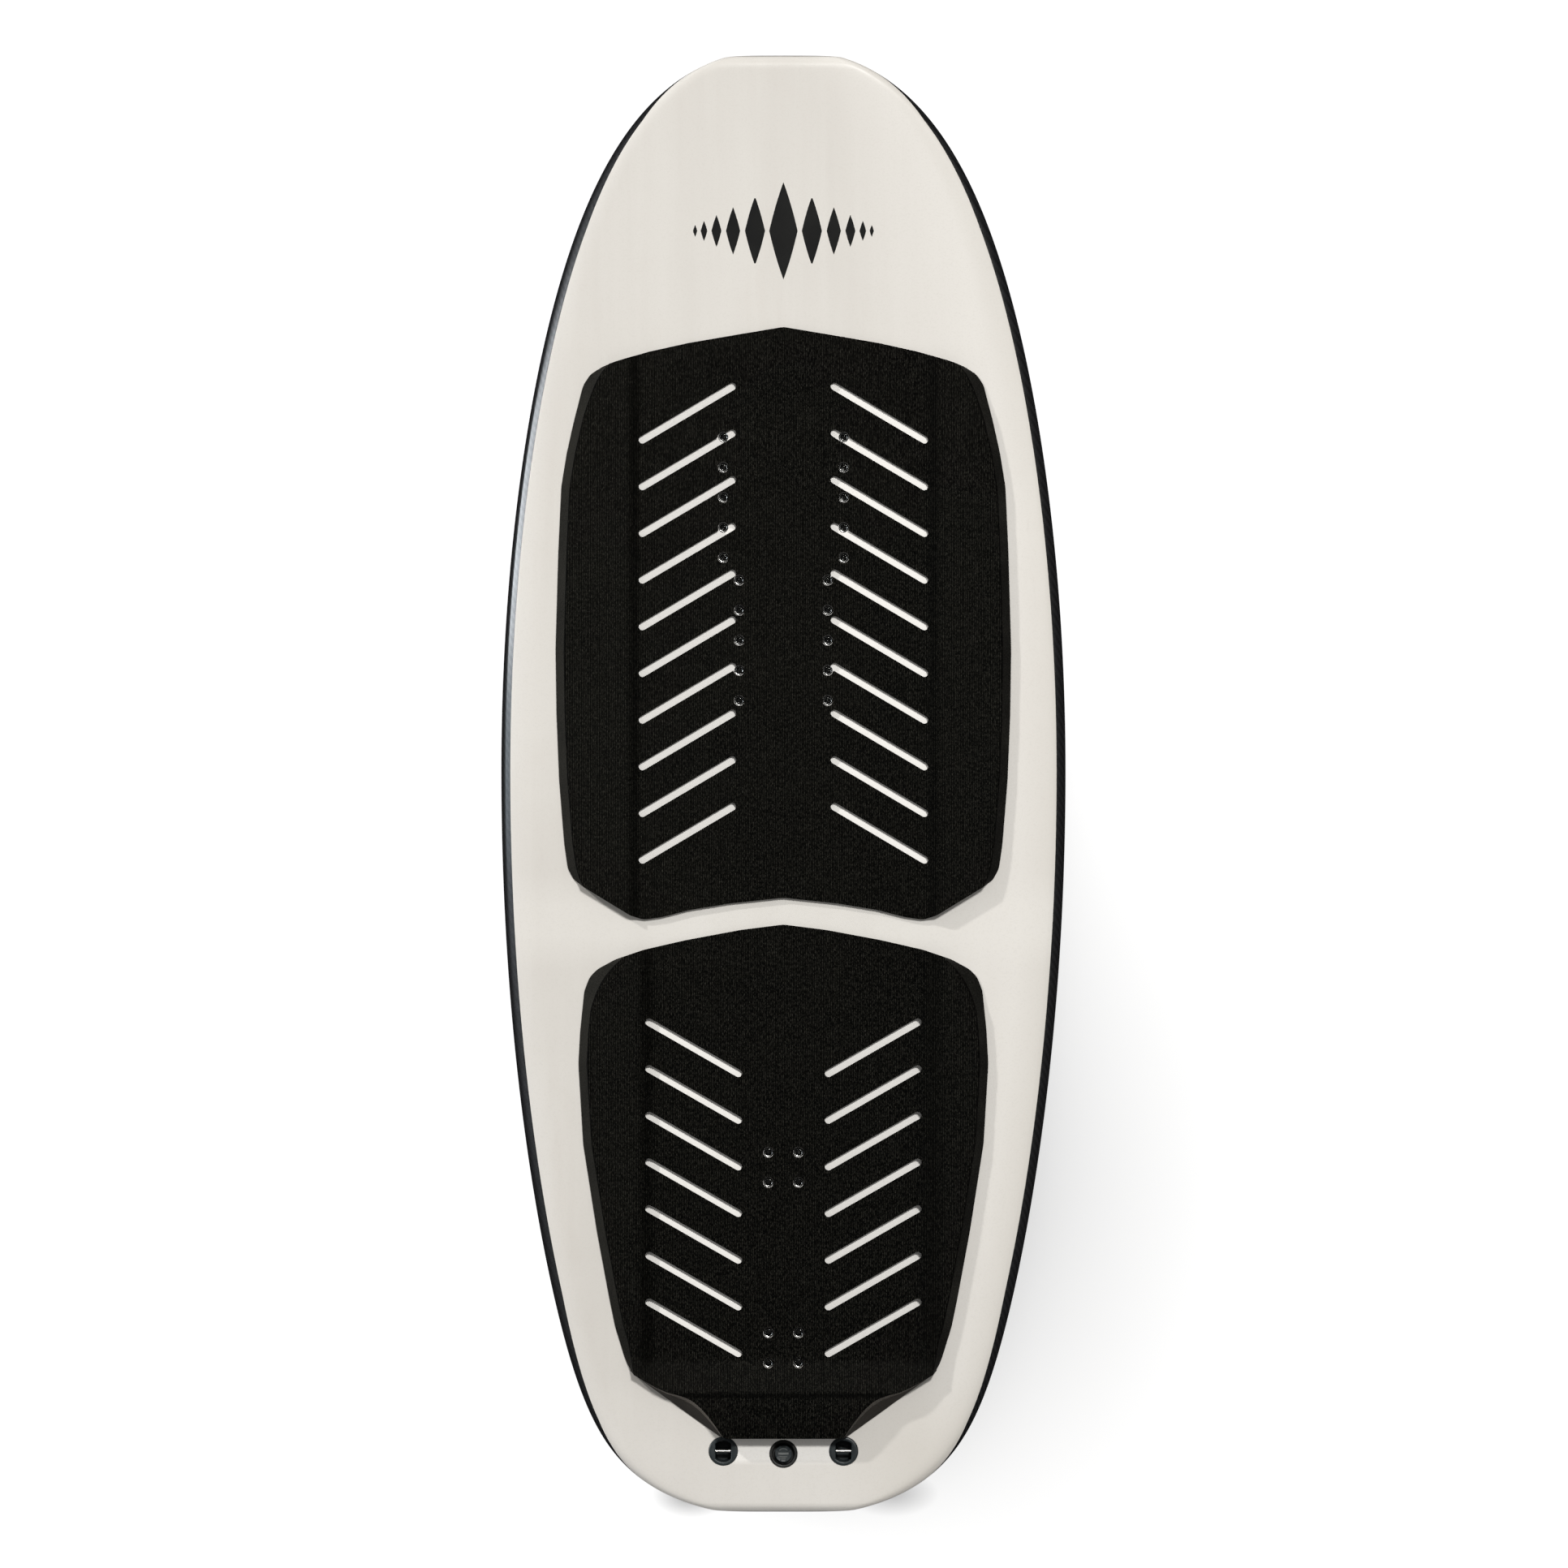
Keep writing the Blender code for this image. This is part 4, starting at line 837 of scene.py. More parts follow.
def build_wedge(mats, outer, offset):
    """Grey core of the kick, under the rear pad: its sides carry on the pad's bevel."""
    inner = outer + offset
    pad_top = kick_height(np.minimum(inner[:, 1], WEDGE_FRONT))
    level = np.maximum(pad_top - PAD_THICK, WEDGE_LEAST)
    share = np.clip((pad_top - level) / (pad_top - EDGE_LIP), 0.0, 1.0)
    edge = inner + (outer - inner) * share[:, None]
    keep = outer[:, 1] < WEDGE_SIDE_FROM
    side, feet = edge[keep], outer[keep]
    order = np.argsort(np.arctan2(side[:, 1] - WEDGE_CENTRE_Y, side[:, 0]))
    side, feet = side[order], feet[order]
    front = [[side[-1][0], WEDGE_FRONT_EDGE], [side[0][0], WEDGE_FRONT_EDGE]]
    region = np.vstack([side, front])
    half = region[:, 0].max()
    rows = np.arange(WEDGE_FRONT, WEDGE_AFT, -1.5)
    sheet = Sheet(np.linspace(-half + 0.05, half - 0.05, 90), rows, region)

    points = np.array(sheet.xy)
    deck = deck_height(points[:, 1])
    rise = np.maximum(kick_height(points[:, 1]) - PAD_THICK, WEDGE_LEAST)
    top = np.column_stack([points, deck + rise])
    under = np.column_stack([points, deck + PAD_GAP])
    ids = sheet.border_ids()
    rim = points[ids]
    near = nearest(rim, side)
    on_side = ((rim - side[near]) ** 2).sum(1) < 9.0
    foot = np.where(on_side[:, None], rim + (feet[near] - side[near]), rim)
    foot_deck = deck_height(foot[:, 1])
    lip = np.column_stack([foot, foot_deck + EDGE_LIP])
    base = np.column_stack([foot, foot_deck + PAD_GAP])
    rim_rows = [(top[ids] + lip) / 2, lip, base]
    wedge = closed_solid("kick_wedge_foam", sheet, top, rim_rows, under, [mats["eva_grey"]])
    register(wedge, "board", "kick_wedge")


def build_pads(mats):
    outer = fine_outline(FRONT_PAD_EDGE)
    offset = bevel_offsets(outer, FRONT_BEVEL, crescents=False)
    build_pad("front_pad_foam", "front_pad", outer, offset, FRONT_FOLD, False, FRONT_SLOT, mats)
    outer = fine_outline(REAR_PAD_EDGE)
    offset = bevel_offsets(outer, REAR_BEVEL, crescents=True)
    build_pad("rear_pad_foam", "rear_pad", outer, offset, REAR_FOLD, True, REAR_SLOT, mats)
    build_wedge(mats, outer, offset)


# ================================================================== strap inserts
PITCH = 25.4
# row, x, y of the foremost insert, inserts in the row
INSERT_ROWS = (
    ("front_port_outer", -50.8, 293.1, 5),
    ("front_port_inner", -37.3, 172.4, 5),
    ("front_starboard_outer", 50.8, 293.1, 5),
    ("front_starboard_inner", 37.3, 172.4, 5),
    ("rear_port_forward", -12.7, -310.6, 2),
    ("rear_starboard_forward", 12.7, -310.6, 2),
    ("rear_port_aft", -12.7, -463.0, 2),
    ("rear_starboard_aft", 12.7, -463.0, 2),
)
INSERT_R, INSERT_LENGTH, PAD_HOLE_R = 4.1, 16.0, 4.5
INSERT_BORE_R, INSERT_BORE_DEPTH, INSERT_LIP = 2.5, 14.0, 0.95
INSERT_THREAD_PITCH, INSERT_THREAD_DEPTH = 1.0, 0.42
INSERT_TURN = 137.5  # degrees from each insert to the next, so that no two look alike


def build_inserts(mats):
    bore, body = INSERT_BORE_R, INSERT_R
    rows = [(0.0, -INSERT_BORE_DEPTH), (bore - 0.4, -INSERT_BORE_DEPTH)]
    rows += threaded(bore, -INSERT_BORE_DEPTH + 0.6, -1.0, INSERT_THREAD_DEPTH,
                     INSERT_THREAD_PITCH, per_turn=7)
    rows += [
        (bore + 0.02, -0.75), (bore + 0.12, -0.42), (bore + 0.30, -0.18), (bore + 0.42, -0.12),
        (bore + 0.90, -0.012), (bore + INSERT_LIP, 0.0), (body - 0.25, 0.0),
        (body - 0.07, -0.07), (body, -0.25), (body, -INSERT_LENGTH + 0.4),
        (body - 0.4, -INSERT_LENGTH), (0.0, -INSERT_LENGTH),
    ]
    pattern = revolved("strap_insert", rows, 32, [mats["insert"], mats["insert_face"]],
                       pitch=INSERT_THREAD_PITCH, sharp=42)
    mesh = pattern.data
    for face in mesh.polygons:
        radius = math.hypot(face.center.x, face.center.y)
        if face.center.z > -0.4 * MM and radius > (bore + INSERT_LIP - 0.02) * MM:
            face.material_index = 1
    bpy.data.objects.remove(pattern)
    for number, (node, x, y) in enumerate(insert_places()):
        obj = bpy.data.objects.new(node.replace("strap_insert", "insert"), mesh)
        bpy.context.scene.collection.objects.link(obj)
        obj.location = Vector((x, y, deck_height(y))) * MM
        obj.rotation_euler = (0.0, 0.0, math.radians((number * INSERT_TURN) % 360.0))
        register(obj, "board", node)


# ================================================================== foil tracks
TRACK_X, TRACK_Y, TRACK_SIZE, TRACK_CORNER = 45.0, -258.0, (25.0, 254.0, 25.0), 2.0
TRACK_SLOT_LENGTH, SLOT_HALF, SLOT_TOP, SLOT_CORNER = 240.0, 5.0, 20.0, 1.0
CHANNEL_HALF, LIP, CHANNEL_TOP = 8.5, 4.0, 10.5
NOTCH, NOTCH_CORNER, MOUTH_CHAMFER = (17.4, 19.0), 1.5, 0.35
NUT_LENGTH, NUT_HALF, NUT_BOSS_HALF = 18.0, 8.2, 4.6
NUT_Z = (1.6, 4.3, 8.7)  # bottom of the boss, bottom of the body, top
NUT_BORE_R, NUT_FLARE, NUT_THREAD_PITCH, NUT_THREAD_DEPTH = 3.4, 0.85, 1.25, 0.55
NUT_Y = {"front": -175.5, "rear": -340.5}


def build_track_box(mats, x, word):
    width, length, height = TRACK_SIZE
    body = (x, TRACK_Y, width / 2, length / 2, TRACK_CORNER)
    outer, small = rounded_box(*body), rounded_box(*body, grow=-0.3)
    levels = [(small, 0.0), (outer, 0.3), (outer, height - 0.5), (small, height)]
    box = prisms(f"track_box_body_{word}", [levels], [mats["track"]])

    def opening(name, half_x, half_y, corner, *tops):
        plan = (x, TRACK_Y, half_x, half_y, corner)
        mouth = upright(rounded_box(*plan, grow=MOUTH_CHAMFER), -3.0, -0.05)
        return prisms(name, [mouth + upright(rounded_box(*plan), MOUTH_CHAMFER, *tops)])

    slot_half = TRACK_SLOT_LENGTH / 2
    channel = rounded_box(x, TRACK_Y, CHANNEL_HALF, slot_half, SLOT_CORNER)
    cut(box, [
        opening("cut_slot", SLOT_HALF, slot_half, SLOT_CORNER, SLOT_TOP - 1.0, SLOT_TOP),
        prisms("cut_channel", [upright(channel, LIP, 8.0, CHANNEL_TOP)]),
        opening("cut_notch", NOTCH[0] / 2, NOTCH[1] / 2, NOTCH_CORNER, LIP + 1.0),
    ], sharp=30)
    register(box, "board", f"track_box_{word}")


def build_nut(mats, x, y, end, word):
    low, middle, high = NUT_Z
    half = NUT_LENGTH / 2
    body = rounded_box(0, 0, NUT_HALF, half, 1.2)
    body_in = rounded_box(0, 0, NUT_HALF - 0.35, half - 0.35, 0.9)
    boss = rounded_box(0, 0, NUT_BOSS_HALF, half - 0.02, 0.9)
    boss_in = rounded_box(0, 0, NUT_BOSS_HALF - 0.3, half - 0.3, 0.65)
    levels = [
        (boss_in, low), (boss, low + 0.3), (boss, middle), (body_in, middle),
        (body, middle + 0.35), (body, high - 0.35), (body_in, high),
    ]
    nut = prisms(f"nut_{end}_{word}", [levels], [mats["steel"]])
    bore, flare = NUT_BORE_R, NUT_BORE_R + NUT_FLARE
    rows = [(0.0, -2.0), (flare, -2.0), (flare, low - 0.15), (bore, low + 0.75)]
    rows += threaded(bore, low + 0.76, high - 0.76, NUT_THREAD_DEPTH, NUT_THREAD_PITCH,
                     per_turn=8)
    rows += [(bore, high - 0.75), (flare, high + 0.15), (flare, 14.0), (0.0, 14.0)]
    cut(nut, [revolved("cut_thread", rows, 40, pitch=NUT_THREAD_PITCH)])
    nut.location = Vector((x, y, 0.0)) * MM
    register(nut, f"{end}_nut_{word}", f"track_nut_{end}_{word}")


def build_tracks(mats):
    for side, word in ((-1, "port"), (1, "starboard")):
        build_track_box(mats, side * TRACK_X, word)
        for end, y in NUT_Y.items():
            build_nut(mats, side * TRACK_X, y, end, word)


# ================================================================== leash plugs
LEASH_X, LEASH_Y = 50.8, -563.1
CUP_FLANGE_R, CUP_BODY_R, CUP_FLANGE, CUP_DEPTH = 12.2, 10.5, 2.7, 20.0
CUP_MOUTH_R, CUP_MOUTH_HALF, CUP_POCKET = 9.0, 6.55, 16.5
PIN_R, PIN_LENGTH, PIN_DROP, PIN_HOLE_R, PIN_HOLE_HALF = 1.45, 19.0, 4.5, 1.55, 9.85
# cup mouth: outline set outward by, z
MOUTH_LEVELS = (
    (-1.2, -CUP_POCKET), (-0.4, -CUP_POCKET + 0.8), (0.0, -CUP_POCKET + 2.4), (0.0, -0.35),
    (0.15, -0.1), (0.4, 0.12), (0.9, 0.3), (0.9, 6.0),
)


def rod_along_x(name, radius, half, steps, materials, place, chamfer=0.0):
    # without a chamfer the doubled corners count once
    rows = list(dict.fromkeys([
        (0.0, -half), (radius - chamfer, -half), (radius, -half + chamfer),
        (radius, half - chamfer), (radius - chamfer, half), (0.0, half),
    ]))
    rod = revolved(name, rows, steps, materials, sharp=40, place=place)
    for vertex in rod.data.vertices:
        x, y, z = vertex.co
        vertex.co = Vector((z, y, -x))
    return rod


def mouth_outline(grow):
    """Circle with flat sides to port and starboard... closed by its two end arcs."""
    radius = CUP_MOUTH_R + grow
    reach = math.asin((CUP_MOUTH_HALF + grow) / radius)
    points = []
    for middle in (math.pi / 2, -math.pi / 2):
        for k in range(17):
            angle = middle - reach + 2 * reach * k / 16
            points.append((radius * math.cos(angle), radius * math.sin(angle)))
    return points


def build_leash_plugs(mats):
    flange, body = CUP_FLANGE_R, CUP_BODY_R
    cup_rows = [
        (0.0, 0.22), (flange - 1.6, 0.2), (flange - 0.9, 0.14), (flange - 0.35, -0.03),
        (flange - 0.08, -0.3), (flange, -0.7), (flange, -CUP_FLANGE + 0.2),
        (flange - 0.2, -CUP_FLANGE), (body, -CUP_FLANGE - 0.01), (body, -CUP_DEPTH + 0.6),
        (body - 0.6, -CUP_DEPTH), (0.0, -CUP_DEPTH),
    ]
    levels = [(mouth_outline(grow), z) for grow, z in MOUTH_LEVELS]
    for side, word in ((-1, "port"), (1, "starboard")):
        place = (side * LEASH_X, LEASH_Y, DECK_Z)
        axis = (place[0], place[1], DECK_Z - PIN_DROP)
        cup = revolved(f"leash_cup_body_{word}", cup_rows, 96, [mats["cup"]], place=place)
        mouth = prisms("cut_mouth", [levels], place=place)
        hole = rod_along_x("cut_pin", PIN_HOLE_R, PIN_HOLE_HALF, 32, [], axis)
        cut(cup, [mouth, hole], sharp=38)
        register(cup, "board", f"leash_cup_{word}")
        pin = rod_along_x(f"leash_pin_bar_{word}", PIN_R, PIN_LENGTH / 2, 40, [mats["pin"]],
                          axis, chamfer=0.3)
        register(pin, "board", f"leash_pin_{word}")


# ================================================================== vent
VENT_Y, VENT_FLANGE_R, VENT_BODY_R, VENT_WELL_R = -565.3, 11.8, 10.2, 9.2
VENT_WELL, VENT_BORE_R, VENT_BORE, VENT_DEPTH, VENT_BREATHER_R = 5.7, 5.3, 13.5, 16.0, 1.6
VENT_PLACE = (0.0, VENT_Y, DECK_Z)
PLUG_HEAD_R, PLUG_TOP, PLUG_UNDER, PLUG_SHANK_R, PLUG_END = 7.35, 1.2, 3.6, 5.0, 12.0
PLUG_CAVITY_R, PLUG_CAVITY, PLUG_CHAMBER_R, PLUG_CHAMBER = 3.9, 5.0, 3.0, 2.6
PLUG_THREAD_PITCH, PLUG_THREAD_DEPTH = 1.5, 0.62
PLUG_LOBES, PLUG_LOBE_DEPTH = 8, 0.28
MARK_BARS = ((0.15, 4.3, 0.85), (-2.45, 3.3, 0.3), (-3.85, 1.9, 0.28))  # y, half x, half y
SLIT_REACH, SLIT_HALF = 12.0, 0.6
RING_R, RING_CORD_R, RING_DROP = 6.2, 0.75, 4.65
FILM_ROWS = ((0.0, -5.4), (3.4, -5.4), (3.5, -5.5), (3.5, -5.8), (3.4, -5.9), (0.0, -5.9))
KEEPER_ROWS = (
    (2.1, -7.9), (2.1, -6.4), (2.2, -6.3), (3.4, -6.3),
    (3.5, -6.4), (3.5, -7.9), (3.4, -8.0), (2.2, -8.0),
)


def build_vent_housing(mats):
    bore, well, flange = VENT_BORE_R, VENT_WELL_R, VENT_FLANGE_R
    rows = [
        (VENT_BREATHER_R, -VENT_DEPTH), (VENT_BREATHER_R, -VENT_BORE),
        (bore - 0.25, -VENT_BORE), (bore, -VENT_BORE + 0.25), (bore, -VENT_WELL - 0.5),
        (bore + 0.5, -VENT_WELL), (well - 0.4, -VENT_WELL), (well, -VENT_WELL + 0.4),
        (well, -0.55), (well + 0.12, -0.22), (well + 0.4, 0.0), (well + 0.55, 0.1),
        (flange - 0.7, 0.1), (flange - 0.3, 0.0), (flange - 0.06, -0.25), (flange, -0.6),
        (flange, -CUP_FLANGE), (VENT_BODY_R, -CUP_FLANGE), (VENT_BODY_R, -VENT_DEPTH),
    ]
    housing = revolved("vent_housing_moulding", rows, 96, [mats["vent"]], place=VENT_PLACE)
    # two shallow curved flats on the flange, port and starboard
    arcs = [
        upright(arc_band((10.35, 11.25), (-0.62, 0.62), 14, turn), -0.12, 0.0, 0.6, 1.0)
        for turn in (math.pi, 0.0)
    ]
    cut(housing, [prisms("cut_flats", arcs, place=VENT_PLACE)], sharp=38)
    register(housing, "board", "vent_housing")


def build_vent_plug(mats):
    chamber, cavity, shank, head = PLUG_CHAMBER_R, PLUG_CAVITY_R, PLUG_SHANK_R, PLUG_HEAD_R
    rows = [
        (0.0, -PLUG_CHAMBER), (chamber - 0.3, -PLUG_CHAMBER), (chamber, -PLUG_CHAMBER - 0.3),
        (chamber, -PLUG_CAVITY), (cavity, -PLUG_CAVITY), (cavity, -PLUG_END + 0.3),
        (cavity + 0.3, -PLUG_END), (shank - 0.9, -PLUG_END),
    ]
    rows += threaded(shank, -PLUG_END + 0.5, -PLUG_UNDER - 1.9, -PLUG_THREAD_DEPTH,
                     PLUG_THREAD_PITCH, per_turn=10)
    rows += [
        (shank, -PLUG_UNDER), (head - 0.15, -PLUG_UNDER), (head, -PLUG_UNDER + 0.15),
        (head, -PLUG_TOP - 0.55), (head - 0.15, -PLUG_TOP - 0.2), (head - 0.5, -PLUG_TOP),
        (head - 1.1, -PLUG_TOP), (head - 1.25, -PLUG_TOP - 0.15), (0.0, -PLUG_TOP - 0.15),
    ]
    plug = revolved(
        "vent_plug_moulding", rows, 96, [mats["plug"], mats["plug_mark"]],
        pitch=PLUG_THREAD_PITCH, sharp=32,
        lobes=(PLUG_LOBES, -PLUG_UNDER + 0.05, -PLUG_TOP - 0.1, PLUG_LOBE_DEPTH),
    )
    # plain raised marks on the head: an arc and three bars
    outlines = [arc_band((4.15, 4.65), (2.45, 0.69), 16)]
    for y, half_x, half_y in MARK_BARS:
        corner = min(0.27, half_y - 0.01)
        outlines.append(rounded_box(0.0, y, half_x, half_y, corner, steps=7))
    low, high = -PLUG_TOP - 0.35, -PLUG_TOP + 0.16
    marks = [upright(outline, low, high - 0.1, high - 0.05, high) for outline in outlines]
    cut(plug, [prisms("plug_marks", marks, [mats["plug_mark"]])], "UNION", sharp=32)
    # two crossed slits through the chamber
    slits = []
    for number, turn in enumerate((0.0, math.pi / 2)):
        cosine, sine = math.cos(turn), math.sin(turn)
        outline = [
            (cosine * i * SLIT_REACH - sine * j * SLIT_HALF,
             sine * i * SLIT_REACH + cosine * j * SLIT_HALF)
            for i, j in ((-1, -1), (1, -1), (1, 1), (-1, 1))
        ]
        slits.append(prisms(f"cut_slit_{number}", [upright(outline, -3.45, -2.75)]))
    cut(plug, slits, sharp=32)
    plug.location = Vector(VENT_PLACE) * MM
    register(plug, "vent_screw", "vent_plug")


def build_vent_seals(mats):
    angles = [2 * math.pi * k / 20 for k in range(20)]
    cord = [
        (RING_R + RING_CORD_R * math.cos(a), -RING_DROP + RING_CORD_R * math.sin(a))
        for a in angles
    ]
    ring = revolved("vent_oring_cord", cord, 80, [mats["rubber"]], sharp=80, place=VENT_PLACE)
    register(ring, "vent_seal", "vent_oring")
    film = revolved("vent_membrane_film", FILM_ROWS, 48, [mats["membrane"]], place=VENT_PLACE)
    register(film, "vent_screw", "vent_membrane")
    keeper = revolved("vent_retainer_ring", KEEPER_ROWS, 48, [mats["plug"]], place=VENT_PLACE)
    register(keeper, "vent_screw", "vent_retainer")


# ================================================================== deck print
PRINT_Y, PRINT_TOP, PRINT_UNDER, LOZENGE_BOW, LOZENGE_STEPS = 467.0, 0.05, 0.10, 0.06, 16
# distance from the centre line, half x, half y
LOZENGES = (
    (0.0, 12.0, 41.0), (24.0, 8.5, 29.0), (42.5, 6.0, 20.0),
    (56.5, 4.2, 13.5), (67.0, 2.8, 8.5), (74.5, 1.8, 5.0),
)


def lozenge(middle, half_x, half_y):
    corners = ((half_x, 0.0), (0.0, half_y), (-half_x, 0.0), (0.0, -half_y))
    outline = []
    for start, end in edges(corners):
        for k in range(LOZENGE_STEPS):
            t = k / LOZENGE_STEPS
            bow = 1 + LOZENGE_BOW * math.sin(math.pi * t)
            x, y = (a + (b - a) * t for a, b in zip(start, end))
            outline.append((middle + x * bow, PRINT_Y + y * bow))
    return np.array(outline)


def build_graphic(mats):
    """A plain row of lozenges printed across the foredeck."""
    points, faces = [], []
    shapes = [
        lozenge(side * at, half_x, half_y)
        for at, half_x, half_y in LOZENGES for side in ((1.0, -1.0) if at else (1.0,))
    ]
    for shape in shapes:
        left, right = shape[:, 0].min() + 0.03, shape[:, 0].max() - 0.03
        columns = np.linspace(left, right, max(13, int(right - left)))
        rows = np.arange(shape[:, 1].min() - 1, shape[:, 1].max() + 1, 4.0)
        sheet = Sheet(columns, rows, shape)
        plan = np.array(sheet.xy)
        top = len(points)
        low = top + len(plan)
        z = deck_height(plan[:, 1])
        points += np.column_stack([plan, z + PRINT_TOP]).tolist()
        points += np.column_stack([plan, z - PRINT_UNDER]).tolist()
        faces += [tuple(top + i for i in face) for face in sheet.faces]
        faces += [tuple(low + i for i in reversed(face)) for face in sheet.faces]
        faces += [(top + b, top + a, low + a, low + b) for a, b in sheet.border()]
    layer = make_object("deck_lozenge_print", points, faces, [mats["print"]], sharp=30)
    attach(layer, "board")


# ================================================================== node tools
NOISE_SPAN = (0.3, 0.7)  # most noise values fall in here


def operator(kind, swapped=False):
    def apply(self, other):
        return self.nodes.math(kind, *((other, self) if swapped else (self, other)))

    return apply


class Signal:
    """An output socket. Arithmetic on it adds Math nodes."""

    def __init__(self, nodes, socket):
        self.nodes, self.socket = nodes, socket

    __add__, __radd__ = operator("ADD"), operator("ADD", swapped=True)
    __sub__, __rsub__ = operator("SUBTRACT"), operator("SUBTRACT", swapped=True)
    __mul__, __rmul__ = operator("MULTIPLY"), operator("MULTIPLY", swapped=True)
    __truediv__ = operator("DIVIDE")

    def __abs__(self):
        return self.apply("ABSOLUTE")

    def apply(self, operation, other=0.0):
        return self.nodes.math(operation, self, other)

    def ramp(self, over=NOISE_SPAN, to=(0.0, 1.0), soft=False):
        """Maps the span `over` onto the span `to`."""
        inputs = {"Value": self, "From Min": over[0], "From Max": over[1],
                  "To Min": to[0], "To Max": to[1]}
        shape = "SMOOTHSTEP" if soft else "LINEAR"
        return self.nodes.add("ShaderNodeMapRange", inputs, interpolation_type=shape)

    def fade(self, first, second):
        """Colour that goes from the first to the second as this goes from 0 to 1."""
        return self.nodes.mix(self, first, second)

    def tint(self, colour, by, blend="MIX"):
        """This colour with another laid over it."""
        return self.nodes.mix(by, self, colour, blend)


class Nodes:
    """Adds nodes to a tree."""

    def __init__(self, tree):
        self.tree = tree

    def feed(self, socket, value):
        if isinstance(value, Signal):
            self.tree.links.new(value.socket, socket)
        else:
            socket.default_value = value

    def make(self, kind, inputs=(), **settings):
        made = self.tree.nodes.new(kind)
        for key, value in settings.items():
            setattr(made, key, value)
        for key, value in dict(inputs).items():
            self.feed(made.inputs[key], value)
        return made

    def add(self, kind, inputs=(), output=0, **settings):
        return Signal(self, self.make(kind, inputs, **settings).outputs[output])

    def math(self, operation, first, second):
        inputs = {0: first, 1: second, 2: 0.0}
        return self.add("ShaderNodeMath", inputs, operation=operation)

    def mix(self, factor, first, second, blend="MIX"):
        inputs = {0: factor}
        for key, value in ((6, first), (7, second)):
            inputs[key] = value if isinstance(value, Signal) else (*value, 1.0)
        return self.add("ShaderNodeMix", inputs, output=2, data_type="RGBA", blend_type=blend)

    def axes(self, vector):
        made = self.make("ShaderNodeSeparateXYZ", {0: vector})
        return [Signal(self, socket) for socket in made.outputs]


class Finish(Nodes):
    """A node material built around one Principled shader, in object coordinates (metres)."""

    def __init__(self, name, colour, roughness, metallic=0.0, specular=0.5):
        self.mat = bpy.data.materials.new(name)
        self.mat.use_nodes = True
        self.mat.diffuse_color = (*colour, 1.0)
        super().__init__(self.mat.node_tree)
        self.shader = self.tree.nodes["Principled BSDF"]
        self.set("Base Color", (*colour, 1.0))
        self.set("Roughness", roughness)
        self.set("Metallic", metallic)
        self.set("Specular IOR Level", specular)
        self.place = self.add("ShaderNodeTexCoord", output="Object")

    def set(self, name, value):
        self.feed(self.shader.inputs[name], value)

    def noise(self, scale=1.0, detail=3.0, rough=0.55, stretch=None, distortion=0.0):
        """Noise; `stretch` scales each axis by itself first."""
        vector = self.place
        if stretch:
            vector = self.add("ShaderNodeMapping", {"Vector": vector, "Scale": stretch})
        return self.add("ShaderNodeTexNoise", {
            "Vector": vector, "Scale": scale, "Detail": detail, "Roughness": rough,
            "Distortion": distortion,
        })

    def cells(self, scale):
        inputs = {"Vector": self.place, "Scale": scale}
        return self.add("ShaderNodeTexVoronoi", inputs, output="Distance")

    def bump(self, height, strength, distance, under=None):
        """Normal raised by a height, over another normal if there is one."""
        inputs = {"Height": height, "Strength": strength, "Distance": distance}
        if under:
            inputs["Normal"] = under
        return self.add("ShaderNodeBump", inputs)


# ================================================================== finishes
def slot_cover(x, y):
    """1 over the rows of slots in the pads, 0 elsewhere."""
    covered = 0.0
    for slot in (FRONT_SLOT, REAR_SLOT):
        points = np.concatenate(slot_outlines(slot))
        low, high = points[:, 1].min() * MM, points[:, 1].max() * MM
        half = (high - low) / 2
        along = abs(y - (low + high) / 2)
        covered = covered + along.ramp(over=(half + 0.001, half + 0.003), to=(1.0, 0.0))
    return covered * abs(x).ramp(over=(0.124, 0.128), to=(1.0, 0.0))


def end_line(y, z):
    """The dark line under the deck's edge at the very ends."""
    line = 0.0
    for side in (-1.0, 1.0):
        top, low = deck_height(side * HALF_LENGTH), bottom_height(side * HALF_LENGTH)
        rail = low + RAIL_LEVEL * (top - low)
        above = z.ramp(over=[(rail + share * (top - rail)) * MM for share in (0.50, 0.58)])
        line = line + above * (y * side).apply("GREATER_THAN", 0.0)
    ends = ((HALF_LENGTH - 1.5) * MM, (HALF_LENGTH - 0.6) * MM)
    return line * abs(y).ramp(over=ends, to=(0.0, 0.80))


